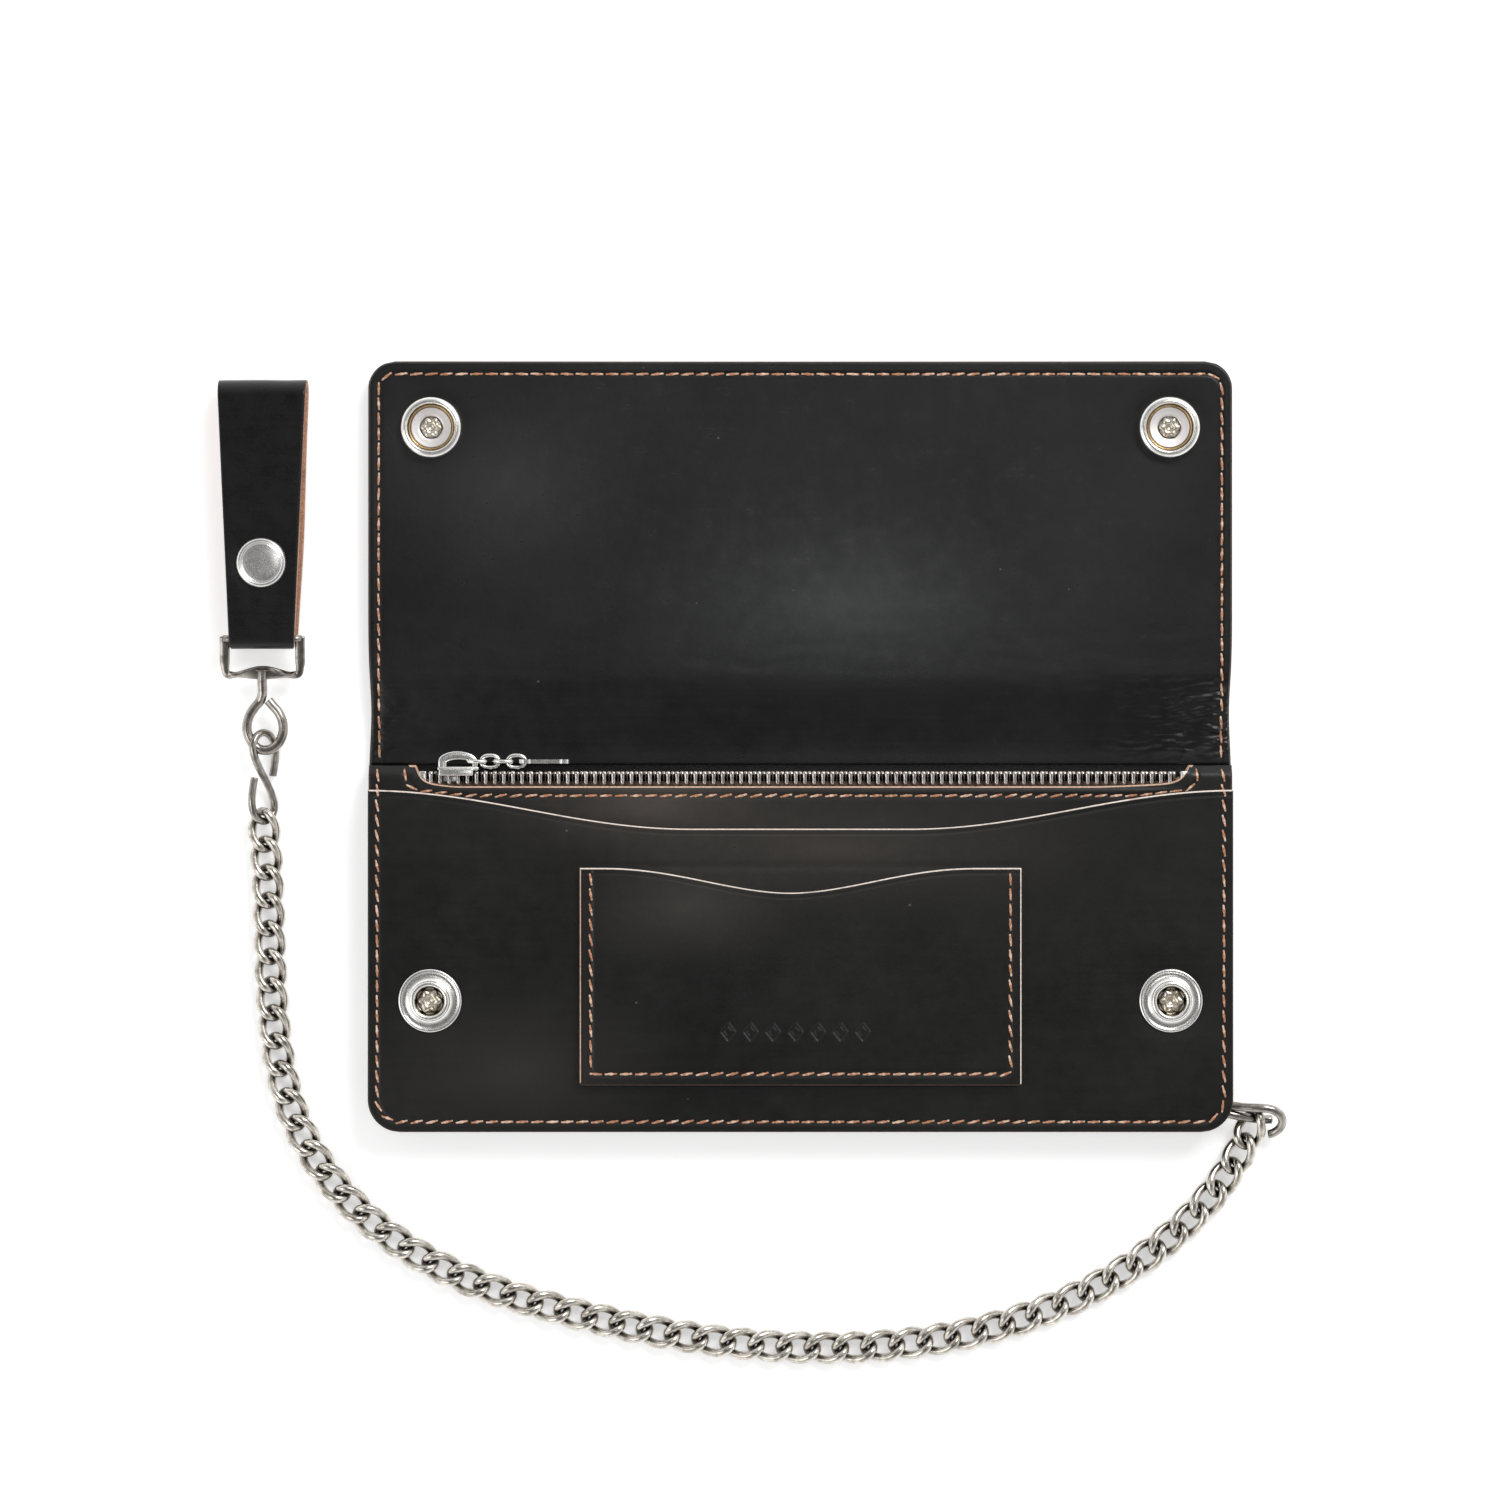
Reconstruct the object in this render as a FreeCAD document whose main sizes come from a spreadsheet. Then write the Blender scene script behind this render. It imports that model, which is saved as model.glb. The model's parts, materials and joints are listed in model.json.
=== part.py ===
import FreeCAD, Part
import math
import os
from types import SimpleNamespace

import Sketcher

# Chain wallet lying open: a long bifold body with a flap, a zip coin pocket, a slip pocket and a
# card pocket, and a curb chain that runs from its lower right corner to a belt strap.
# Frame: X across the wallet, +Y from the fold towards the flap's free edge, +Z up from the table.
# The origin is on the fold line, half way across, at table level. Millimetres.

SIZES = [
    # body and flap
    ("wallet_width", 190.0),
    ("body_low", 91.9),
    ("body_high", 11.3),
    ("flap_length", 77.5),
    ("body_corner", 7.5),
    ("flap_corner", 6.0),
    ("shell_thick", 1.6),
    ("lining_thick", 1.2),
    ("flap_lift", 2.0),
    ("fold_axis_offset", 3.65),
    ("fold_slit", 0.3),
    # layers of the body, from the back to the front
    ("seam_width", 4.0),
    ("bill_gap", 1.0),
    ("pocket_leather", 1.2),
    ("coin_gap", 2.4),
    ("slip_gap", 0.6),
    ("panel_leather", 1.4),
    ("card_gap", 0.8),
    ("card_leather", 1.3),
    # zip window, slip pocket edge and card pocket
    ("window_left", 85.0),
    ("window_right", 86.5),
    ("window_front", 16.3),
    ("window_back", 15.4),
    ("panel_side", 16.7),
    ("panel_dip", 8.5),
    ("card_half", 48.2),
    ("card_high", 33.8),
    ("card_low", 81.2),
    ("card_dip", 5.4),
    ("card_seam", 3.4),
    # zip
    ("zip_line", 13.8),
    ("zip_middle", 5.0),
    ("zip_slit", 0.9),
    ("tooth_depth", 1.6),
    ("tooth_thick", 2.4),
    ("tooth_width", 1.2),
    ("tooth_pitch", 2.0),
    ("tape_thick", 0.6),
    ("tape_reach", 22.0),
    ("slider_start", -75.0),
    ("slider_length", 9.0),
    ("slider_height", 6.2),
    ("slider_plate", 0.8),
    ("bridge_width", 1.2),
    ("bridge_rise", 3.0),
    ("pull_wire", 0.8),
    ("pull_link_length", 4.7),
    ("pull_link_width", 3.5),
    ("pull_tab_length", 8.4),
    # press studs
    ("snap_across", 81.0),
    ("snap_along", 62.8),
    ("snap_hole", 3.7),
    # stitching
    ("thread_width", 0.6),
    ("thread_rise", 0.35),
    ("thread_inset", 2.4),
    # belt strap, swivel and hooks
    ("strap_middle", -118.0),
    ("strap_high", 73.3),
    ("strap_low", 13.9),
    ("strap_width", 19.6),
    ("strap_waist", 14.0),
    ("strap_leather", 1.3),
    ("strap_rear", 0.7),
    ("strap_face", 8.7),
    ("strap_snap_along", 33.0),
    ("frame_bar_along", 16.4),
    ("frame_bar_height", 6.45),
    ("frame_tilt", 8.0),
    ("frame_half", 9.1),
    ("frame_drop", 8.8),
    ("frame_bar", 1.6),
    ("eye_wire", 2.0),
    ("eye_radius", 4.25),
    ("hook_wire", 1.6),
    ("hook_tilt", 45.0),
    ("hook_along", -13.9),
    ("hook_height", 3.3),
    ("anchor_across", 84.2),
    ("anchor_along", -84.8),
    ("anchor_turn", -12.0),
    ("anchor_wire", 1.7),
    # chain
    ("link_count", 51),
    ("links_in_segment", 3),
    ("link_length", 10.2),
    ("link_width", 7.1),
    ("link_wire", 1.8),
    ("link_twist", -50.0),
]

doc = FreeCAD.newDocument("chain_wallet")
NODES = []


class Dim:
    """A length worked out from the sheet: its value now, and the expression that keeps it bound."""

    def __init__(self, value, text):
        self.value = float(value)
        self.text = text

    def __add__(self, other):
        return join(self, other, "+")

    def __radd__(self, other):
        return join(other, self, "+")

    def __sub__(self, other):
        return join(self, other, "-")

    def __rsub__(self, other):
        return join(other, self, "-")

    def __mul__(self, other):
        return join(self, other, "*")

    def __rmul__(self, other):
        return join(other, self, "*")

    def __truediv__(self, other):
        return join(self, other, "/")

    def __neg__(self):
        return join(0, self, "-")


def dim(number):
    """A Dim stays as it is, and a plain number becomes one."""
    if isinstance(number, Dim):
        return number
    return Dim(number, "({:g})".format(number))


def join(left, right, sign):
    """Two sizes joined by one arithmetic sign, as a value and as an expression."""
    left = dim(left)
    right = dim(right)
    if sign == "+":
        value = left.value + right.value
    elif sign == "-":
        value = left.value - right.value
    elif sign == "*":
        value = left.value * right.value
    else:
        value = left.value / right.value
    return Dim(value, "({} {} {})".format(left.text, sign, right.text))


def make_sheet():
    """Put every driving size in the sheet, and give back each one as a Dim by its name."""
    sheet = doc.addObject("Spreadsheet::Sheet", "Sizes")
    found = {}
    for row, (name, value) in enumerate(SIZES, start=1):
        sheet.set("A{}".format(row), name)
        sheet.set("B{}".format(row), "{:g}".format(value))
        sheet.setAlias("B{}".format(row), name)
        found[name] = Dim(value, "Sizes." + name)
    doc.recompute()
    return SimpleNamespace(**found)


size = make_sheet()
half_width = size.wallet_width / 2

# heights of the body's layers above the table
bill_floor = size.shell_thick
pocket_back = bill_floor + size.bill_gap
coin_floor = pocket_back + size.pocket_leather
coin_roof = coin_floor + size.coin_gap
pocket_face = coin_roof + size.pocket_leather
slip_roof = pocket_face + size.slip_gap
panel_face = slip_roof + size.panel_leather
card_roof = panel_face + size.card_gap
card_face = card_roof + size.card_leather

# heights of the flap's layers
flap_skin = size.flap_lift + size.shell_thick
flap_face = flap_skin + size.lining_thick


# ---------------------------------------------------------------- helpers


def bind(item, prop, length):
    """Bind one property of an object to an expression of sheet cells."""
    item.setExpression(prop, dim(length).text)


def place(item, across, along, up):
    """Bind an object's place to the sheet."""
    bind(item, "Placement.Base.x", across)
    bind(item, "Placement.Base.y", along)
    bind(item, "Placement.Base.z", up)


def node(item, name):
    """Name an object as a sub-part of its own, with its own file."""
    item.Label = name
    NODES.append(item)
    return item


def new_body(name):
    return doc.addObject("PartDesign::Body", name)


def origin_plane(body, role):
    for feature in body.Origin.OriginFeatures:
        if feature.Role == role:
            return feature
    raise ValueError(role)


def empty_sketch(body, name, role, offset):
    """A sketch on one of the body's own planes, lifted from it by a bound offset."""
    sketch = body.newObject("Sketcher::SketchObject", name)
    sketch.AttachmentSupport = (origin_plane(body, role), [""])
    sketch.MapMode = "FlatFace"
    bind(sketch, "AttachmentOffset.Base.z", offset)
    return sketch


def pin_corner(sketch, line, number, corner):
    """Fix the start of a line at a bound place."""
    for axis, kind in (("x", "DistanceX"), ("y", "DistanceY")):
        length = dim(corner[0] if axis == "x" else corner[1])
        index = sketch.addConstraint(Sketcher.Constraint(kind, -1, 1, line, 1, length.value))
        label = "{}{}".format(axis, number)
        sketch.renameConstraint(index, label)
        bind(sketch, "Constraints." + label, length)


def outline(body, name, role, corners, offset=0, curve=None):
    """A closed outline through bound corners. A curve, if given, is the last side, as its inner points."""
    sketch = empty_sketch(body, name, role, offset)
    points = [FreeCAD.Vector(dim(x).value, dim(y).value, 0) for x, y in corners]
    count = len(points)
    straight = count - 1 if curve else count
    lines = []
    for number in range(straight):
        segment = Part.LineSegment(points[number], points[(number + 1) % count])
        lines.append(sketch.addGeometry(segment, False))
    if curve:
        spline = Part.BSplineCurve()
        spline.interpolate([points[-1]] + curve + [points[0]])
        lines.append(sketch.addGeometry(spline, False))
    for number in range(count):
        following = lines[(number + 1) % count]
        sketch.addConstraint(Sketcher.Constraint("Coincident", lines[number], 2, following, 1))
    for number in range(straight):
        pin_corner(sketch, lines[number], number, corners[number])
    if curve:
        pin_corner(sketch, lines[-1], count - 1, corners[-1])
    return sketch


def ring(body, name, role, centre, radius, offset=0):
    """A circle with a bound centre and radius."""
    sketch = empty_sketch(body, name, role, offset)
    middle = FreeCAD.Vector(dim(centre[0]).value, dim(centre[1]).value, 0)
    circle = Part.Circle(middle, FreeCAD.Vector(0, 0, 1), dim(radius).value)
    index = sketch.addGeometry(circle, False)
    for label, kind, length in (
        ("centre_x", "DistanceX", dim(centre[0])),
        ("centre_y", "DistanceY", dim(centre[1])),
    ):
        added = sketch.addConstraint(Sketcher.Constraint(kind, -1, 1, index, 3, length.value))
        sketch.renameConstraint(added, label)
        bind(sketch, "Constraints." + label, length)
    added = sketch.addConstraint(Sketcher.Constraint("Radius", index, dim(radius).value))
    sketch.renameConstraint(added, "radius")
    bind(sketch, "Constraints.radius", radius)
    return sketch


def pad(body, sketch, length, midplane=False):
    feature = body.newObject("PartDesign::Pad", sketch.Name + "_pad")
    feature.Profile = sketch
    feature.Midplane = midplane
    bind(feature, "Length", length)
    sketch.Visibility = False
    return feature


def pocket(body, sketch, depth, midplane=False):
    """Cut from the sketch towards the plane's underside."""
    feature = body.newObject("PartDesign::Pocket", sketch.Name + "_cut")
    feature.Profile = sketch
    feature.Midplane = midplane
    bind(feature, "Length", depth)
    sketch.Visibility = False
    return feature


def box_corners(left, right, low, high):
    return [(left, low), (right, low), (right, high), (left, high)]


def round_corners(body, corners, radius):
    """Round the upright edges that stand at the given corners."""
    doc.recompute()
    base = body.Tip
    names = []
    for number, edge in enumerate(base.Shape.Edges, start=1):
        first = edge.Vertexes[0].Point
        last = edge.Vertexes[-1].Point
        upright = abs(first.x - last.x) + abs(first.y - last.y) < 1e-6
        for across, along in corners:
            near = abs(first.x - dim(across).value) + abs(first.y - dim(along).value) < 1e-3
            if upright and near:
                names.append("Edge{}".format(number))
    feature = body.newObject("PartDesign::Fillet", body.Name + "_corners_" + str(len(body.Group)))
    feature.Base = (base, names)
    bind(feature, "Radius", radius)
    return feature


def turned(name, profile, across, along, up):
    """A turned piece: a closed (radius, height) profile about an upright axis."""
    body = new_body(name)
    sketch = outline(body, name + "_profile", "XZ_Plane", profile)
    feature = body.newObject("PartDesign::Revolution", name + "_turn")
    feature.Profile = sketch
    feature.ReferenceAxis = (sketch, ["V_Axis"])
    feature.Angle = 360
    place(body, across, along, up)
    return body


def pair(name, body):
    """A piece and its mirror image on the wallet's other side, as one sub-part of two solids."""
    mirror = doc.addObject("Part::Mirroring", name + "_mirror")
    mirror.Source = body
    mirror.Normal = FreeCAD.Vector(1, 0, 0)
    group = doc.addObject("Part::Compound", name)
    group.Links = [body, mirror]
    return node(group, name)


def block(name, left, right, low, high, floor, roof):
    """A plain box between bound limits."""
    item = doc.addObject("Part::Box", name)
    bind(item, "Length", right - left)
    bind(item, "Width", high - low)
    bind(item, "Height", roof - floor)
    place(item, left, low, floor)
    return item


def fuse(name, pieces):
    item = doc.addObject("Part::MultiFuse", name)
    item.Shapes = pieces
    return item


def solid(name, shape, move=None):
    """A sub-part whose shape is computed here, because a formula or a swept wire makes it."""
    item = doc.addObject("Part::Feature", name)
    item.Shape = shape
    if move:
        item.Placement = move
    return node(item, name)


def swept_wire(points, thickness, heading=None):
    """A round wire bent along a smooth open curve through the points, setting out in the given heading."""
    spline = Part.BSplineCurve()
    if heading:
        spline.interpolate(points, InitialTangent=heading, FinalTangent=(points[-1] - points[-2]).normalize())
    else:
        spline.interpolate(points)
    path = Part.Wire([spline.toShape()])
    start = Part.Circle(points[0], spline.tangent(spline.FirstParameter)[0], thickness / 2)
    return path.makePipeShell([Part.Wire([start.toShape()])], True, False)


def link_points(half_length, half_width, twist):
    """Centre line of one link: a squared oval, turned about its own length by up to the twist."""
    steps = 24
    squareness = 2 / 2.3
    points = []
    for step in range(steps):
        turn = 2 * math.pi * step / steps
        along = half_length * math.copysign(abs(math.cos(turn)) ** squareness, math.cos(turn))
        across = half_width * math.copysign(abs(math.sin(turn)) ** squareness, math.sin(turn))
        roll = math.radians(twist) * along / half_length
        points.append(FreeCAD.Vector(along, across * math.cos(roll), across * math.sin(roll)))
    return points


def link_shape(length, width, thickness, twist):
    """One closed link of round wire, along X and lying flat: two halves swept and joined."""
    points = link_points((length - thickness) / 2, (width - thickness) / 2, twist)
    spline = Part.BSplineCurve()
    spline.interpolate(points, PeriodicFlag=True)
    start = spline.FirstParameter
    middle = (spline.FirstParameter + spline.LastParameter) / 2
    halves = []
    for first, last in ((start, middle), (middle, spline.LastParameter)):
        edge = spline.toShape(first, last)
        end = Part.Circle(edge.valueAt(first), edge.tangentAt(first), thickness / 2)
        path = Part.Wire([edge])
        halves.append(path.makePipeShell([Part.Wire([end.toShape()])], True, False))
    return halves[0].fuse(halves[1]).Solids[0]


# ---------------------------------------------------------------- leather


def leather_sheet(name, low, high, floor, thick, corners, radius):
    """A flat sheet across the whole wallet, with the listed corners rounded."""
    body = new_body(name)
    corner_places = box_corners(-half_width, half_width, low, high)
    sketch = outline(body, name + "_outline", "XY_Plane", corner_places, floor)
    pad(body, sketch, thick)
    if corners:
        round_corners(body, corners, radius)
    return node(body, name)


def make_shell():
    """The outer leather: back, the narrow strip between the two fold lines, and the flap."""
    low = -size.body_low
    fold = size.fold_axis_offset + size.fold_slit
    ends = [(-half_width, low), (half_width, low)]
    leather_sheet("shell_back", low, -fold, 0, size.shell_thick, ends, size.body_corner)
    strip = size.fold_axis_offset - size.fold_slit
    leather_sheet("shell_spine", -strip, strip, 0, size.shell_thick, [], 0)
    leather_sheet("spine_lining", -strip, strip, size.shell_thick, size.lining_thick, [], 0)


def make_flap():
    """Flap shell and lining, each with two holes for the press stud posts."""
    low = size.fold_axis_offset + size.fold_slit
    high = size.flap_length
    tops = [(-half_width, high), (half_width, high)]
    for name, floor, thick in (
        ("shell_flap", size.flap_lift, size.shell_thick),
        ("flap_lining", flap_skin, size.lining_thick),
    ):
        body = leather_sheet(name, low, high, floor, thick, tops, size.flap_corner)
        for side, across in (("left", -size.snap_across), ("right", size.snap_across)):
            place = (across, size.snap_along)
            hole = ring(body, name + "_hole_" + side, "XY_Plane", place, size.snap_hole / 2, floor + thick)
            pocket(body, hole, thick)


def make_zip_pocket():
    """One leather folded over the body's top edge, with the window that the zip closes."""
    name = "zip_pocket"
    body = new_body(name)
    low = -size.body_low
    high = -size.body_high
    seam = size.seam_width
    inner = (-half_width + seam, half_width - seam, low + seam)
    beyond = high + 1
    sheet = box_corners(-half_width, half_width, low, high)
    base = outline(body, "zip_outline", "XY_Plane", sheet, bill_floor)
    pad(body, base, pocket_face - bill_floor)
    round_corners(body, [(-half_width, low), (half_width, low)], size.body_corner)
    bill = outline(body, "bill_space", "XY_Plane", box_corners(*inner, beyond), pocket_back)
    pocket(body, bill, size.bill_gap)
    coin = outline(body, "coin_space", "XY_Plane", box_corners(*inner, high - size.pocket_leather), coin_roof)
    pocket(body, coin, size.coin_gap)
    window = (-size.window_left, size.window_right)
    front_cut = box_corners(*window, -size.window_front, beyond)
    front = outline(body, "zip_window", "XY_Plane", front_cut, pocket_face)
    pocket(body, front, pocket_face - coin_floor)
    back_cut = box_corners(*window, -size.window_back, beyond)
    back = outline(body, "zip_window_back", "XY_Plane", back_cut, coin_floor)
    pocket(body, back, coin_floor - bill_floor)
    slot_left = size.anchor_across - 3.2
    slot = box_corners(slot_left, half_width + 1, size.anchor_along - 6.6, size.anchor_along + 3.4)
    slot_sketch = outline(body, "hook_slot", "XY_Plane", slot, coin_roof)
    pocket(body, slot_sketch, size.coin_gap)
    centre = (size.anchor_across, size.anchor_along)
    hole = ring(body, "rivet_hole", "XY_Plane", centre, 1.6, pocket_face)
    pocket(body, hole, pocket_face - bill_floor)
    return node(body, name)


def dipped_edge(side, dip, half, middle, flat_share, round_share):
    """Inner points of a pocket's top edge, from left to right: level at the sides, dipping in the middle."""
    steps = 12
    points = []
    for step in range(1, steps):
        across = -half + 2 * half * step / steps
        share = abs(across - middle) / (half + abs(middle))
        share = min(max((share - flat_share) / round_share, 0), 1)
        drop = dip * 0.5 * (1 + math.cos(math.pi * share))
        points.append(FreeCAD.Vector(across, side - drop, 0))
    return points


def make_front_panel():
    """The slip pocket's front, sewn on at three sides, with a hole for each press stud's post."""
    name = "front_panel"
    body = new_body(name)
    low = -size.body_low
    high = -size.panel_side
    seam = size.seam_width
    corners = [(half_width, high), (half_width, low), (-half_width, low), (-half_width, high)]
    top = dipped_edge(high.value, size.panel_dip.value, half_width.value, 0, 0.25, 0.75)
    edge = outline(body, "panel_outline", "XY_Plane", corners, pocket_face, top)
    pad(body, edge, panel_face - pocket_face)
    round_corners(body, [(-half_width, low), (half_width, low)], size.body_corner)
    inner = box_corners(-half_width + seam, half_width - seam, low + seam, high + 1)
    space = outline(body, "slip_space", "XY_Plane", inner, slip_roof)
    pocket(body, space, size.slip_gap)
    for side, across in (("left", -size.snap_across), ("right", size.snap_across)):
        hole = ring(body, "stud_hole_" + side, "XY_Plane", (across, -size.snap_along), 1.85, panel_face)
        pocket(body, hole, size.panel_leather)
    return node(body, name)


def make_card_pocket():
    """The card pocket in the middle, sewn on at three sides."""
    name = "card_pocket"
    body = new_body(name)
    half = size.card_half
    low = -size.card_low
    high = -size.card_high
    seam = size.card_seam
    corners = [(half, high), (half, low), (-half, low), (-half, high)]
    top = dipped_edge(high.value, size.card_dip.value, half.value, -2.3, 0, 0.85)
    edge = outline(body, "card_outline", "XY_Plane", corners, panel_face, top)
    pad(body, edge, card_face - panel_face)
    inner = box_corners(-half + seam, half - seam, low + seam, high + 1)
    space = outline(body, "card_space", "XY_Plane", inner, card_roof)
    pocket(body, space, size.card_gap)
    return node(body, name)


# ---------------------------------------------------------------- stitching


def rounded_face(left, right, low, high, radius):
    """A rectangle with four round corners."""
    edges = []
    centres = (
        (right - radius, high - radius, 0),
        (left + radius, high - radius, 90),
        (left + radius, low + radius, 180),
        (right - radius, low + radius, 270),
    )
    ends = []
    for across, along, start in centres:
        middle = FreeCAD.Vector(across, along, 0)
        circle = Part.Circle(middle, FreeCAD.Vector(0, 0, 1), radius)
        arc = Part.Arc(circle, math.radians(start), math.radians(start + 90))
        edges.append(arc.toShape())
        ends.append((arc.StartPoint, arc.EndPoint))
    for number in range(4):
        edges.append(Part.makeLine(ends[number][1], ends[(number + 1) % 4][0]))
    return Part.Face(Part.Wire(Part.__sortEdges__(edges)))


def thread_run(name, left, right, low, high, radius, floor, keep):
    """A run of stitching on three sides of a panel, as one low band. keep says which heights it spans."""
    grow = size.thread_width.value / 2
    outer = rounded_face(left - grow, right + grow, low - grow, high + grow, radius + grow)
    inner = rounded_face(left + grow, right - grow, low + grow, high - grow, radius - grow)
    band = outer.cut(inner).extrude(FreeCAD.Vector(0, 0, size.thread_rise.value))
    band.translate(FreeCAD.Vector(0, 0, floor))
    margin = 1
    cutter = Part.makeBox(
        right - left + 2 * margin + 2 * grow,
        keep[1] - keep[0],
        10,
        FreeCAD.Vector(left - margin - grow, keep[0], floor - 1),
    )
    return solid(name, band.common(cutter))


def make_threads():
    inset = size.thread_inset.value
    half = half_width.value - inset
    low = -size.body_low.value + inset + 0.2
    corner = size.body_corner.value - inset
    side_end = -size.panel_side.value - 0.6
    thread_run("thread_body", -half, half, low, side_end + 20, corner, panel_face.value, (low - 1, side_end))
    top = size.flap_length.value - inset - 0.5
    start = size.fold_axis_offset.value + size.fold_slit.value + 0.4
    flap_turn = size.flap_corner.value - inset
    thread_run("thread_flap", -half, half, start - 20, top, flap_turn, flap_face.value, (start, top + 1))
    margin = 1.95
    zip_low = -size.window_front.value - margin
    end = -size.body_high.value - 0.4
    thread_run(
        "thread_zip",
        -size.window_left.value - 3.5,
        size.window_right.value + 1.6,
        zip_low,
        end + 20,
        6.0,
        pocket_face.value,
        (zip_low - 1, end),
    )
    card = size.card_half.value - 2.4
    card_low = -size.card_low.value + 2.5
    card_end = -size.card_high.value - 0.8
    kept = (card_low - 1, card_end)
    thread_run("thread_card_pocket", -card, card, card_low, card_end + 20, 1.2, card_face.value, kept)


# ---------------------------------------------------------------- zip


def make_tapes():
    """A woven tape sewn behind each edge of the window, ending at its row of teeth."""
    left = -size.window_left + 0.5
    right = size.window_right - 0.5
    far = -size.tape_reach
    near = -size.zip_line - size.tooth_thick / 2 - 0.05
    gap = 0.05
    top = coin_roof - gap
    front = block("zipper_tape_front", left, right, far, near, top - size.tape_thick, top)
    node(front, "zipper_tape_front")
    low = coin_floor + gap
    back = block("zipper_tape_back", left, right, far, near, low, low + size.tape_thick)
    node(back, "zipper_tape_back")


def make_teeth():
    """Two rows of metal teeth on either side of the slit that the slider's neck runs in."""
    width = size.tooth_width.value
    depth = size.tooth_depth.value
    thick = size.tooth_thick.value
    pitch = size.tooth_pitch.value
    slit = size.zip_slit.value / 2
    middle = size.zip_middle.value
    first = -size.window_left.value + 4
    last = size.window_right.value - 4
    for name, floor, shift in (
        ("zipper_teeth_front", middle + slit, 0),
        ("zipper_teeth_back", middle - slit - depth, pitch / 2),
    ):
        teeth = []
        across = first + shift
        while across < last:
            corner = FreeCAD.Vector(across - width / 2, -size.zip_line.value - thick / 2, floor)
            tooth = Part.makeBox(width, thick, depth, corner)
            upright = [e for e in tooth.Edges if abs(e.Vertexes[0].Z - e.Vertexes[1].Z) > depth / 2]
            teeth.append(tooth.makeFillet(0.3, upright))
            across += pitch
        solid(name, Part.makeCompound(teeth))


def make_stops():
    """A small metal clamp at each end of both rows."""
    thick = size.tooth_thick.value
    slit = size.zip_slit.value / 2
    depth = size.tooth_depth.value
    middle = size.zip_middle.value
    stops = []
    for across in (-size.window_left.value + 1.4, size.window_right.value - 3.2):
        for floor in (middle + slit, middle - slit - depth):
            corner = FreeCAD.Vector(across, -size.zip_line.value - thick / 2, floor)
            stops.append(Part.makeBox(1.6, thick, depth, corner))
    solid("zipper_stops", Part.makeCompound(stops))


def make_slider():
    """Outer plate, neck through the slit, inner bar, and the bridge that the pull hangs from."""
    half = size.slider_length / 2
    left = size.slider_start - half
    right = size.slider_start + half
    row_face = -size.zip_line + size.tooth_thick / 2
    plate_near = row_face + 0.1
    plate_far = plate_near + size.slider_plate
    back_face = -size.zip_line - size.tooth_thick / 2
    middle = size.zip_middle
    tall = size.slider_height / 2
    plate = block("slider_plate", left, right, plate_near, plate_far, middle - tall, middle + tall)
    low = middle - 0.4
    high = middle + 0.4
    inner = plate_near + 0.1
    neck = block("slider_neck", left + 1, left + 5, back_face - 0.5, inner, low + 0.05, high - 0.05)
    bar = block("slider_bar", left + 0.6, right - 0.6, back_face - 0.9, back_face - 0.1, low, high)
    wide = size.bridge_width / 2
    root = plate_far - 0.1
    crest = plate_far + size.bridge_rise
    post_left = block("bridge_left", left + 0.6, left + 2, root, crest, middle - wide, middle + wide)
    post_right = block("bridge_right", right - 1.6, right - 0.4, root, crest, middle - wide, middle + wide)
    beam = block(
        "bridge_beam",
        left + 0.6,
        right - 0.4,
        plate_far + size.bridge_rise - 1.0,
        plate_far + size.bridge_rise,
        middle - wide,
        middle + wide,
    )
    node(fuse("zipper_slider", [plate, neck, bar, post_left, post_right, beam]), "zipper_slider")
    return right - 1.6, plate_far + size.bridge_rise / 2 - 0.3


def make_pull(start, along):
    """Four small links, each turned a quarter from the last, and a flat tab."""
    wire = size.pull_wire.value
    length = size.pull_link_length.value
    width = size.pull_link_width.value
    play = 0.2
    slack = 0.45
    step = length - 2 * wire - play
    middle = size.zip_middle.value
    across = start - slack - wire + length / 2
    for number in range(4):
        shape = link_shape(length, width, wire, 0)
        quarter = 90 if number % 2 == 0 else 0
        spin = FreeCAD.Rotation(FreeCAD.Vector(1, 0, 0), quarter)
        move = FreeCAD.Placement(FreeCAD.Vector(across, along, middle), spin)
        solid("pull_link_{}".format(number + 1), shape, move)
        across += step
    make_pull_tab(across - length / 2 + 1.5 * wire + play, along, middle)


def make_pull_tab(hole, along, middle):
    """A narrow tab standing on edge, wider round the hole that the last link passes through."""
    reach = size.pull_tab_length.value
    thick = 0.9
    eye = Part.makeCylinder(1.6, thick, FreeCAD.Vector(0, -thick / 2, 0), FreeCAD.Vector(0, 1, 0))
    arm = Part.makeBox(reach, thick, 2.2, FreeCAD.Vector(0.6, -thick / 2, -1.1))
    tip = Part.makeCylinder(1.4, thick, FreeCAD.Vector(reach, -thick / 2, 0), FreeCAD.Vector(0, 1, 0))
    drill = Part.makeCylinder(0.9, 4, FreeCAD.Vector(0, -2, 0), FreeCAD.Vector(0, 1, 0))
    shape = eye.fuse([arm, tip]).cut(drill).removeSplitter()
    solid("pull_tab", shape, FreeCAD.Placement(FreeCAD.Vector(hole, along, middle), FreeCAD.Rotation()))


# ---------------------------------------------------------------- press studs


def cap_profile(radius, thick, tube, reach, flare):
    """Outer cap with its tube: a low dome below, a tube up through the leather, and a rolled end."""
    return [
        (0, 0),
        (radius * 0.75, 0),
        (radius, thick * 0.55),
        (radius, thick),
        (tube, thick),
        (tube, thick + reach),
        (flare, thick + reach + 0.15),
        (flare, thick + reach + 0.55),
        (flare * 0.6, thick + reach + 0.75),
        (flare * 0.6, thick + reach + 0.2),
        (0, thick + reach + 0.2),
    ]


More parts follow.
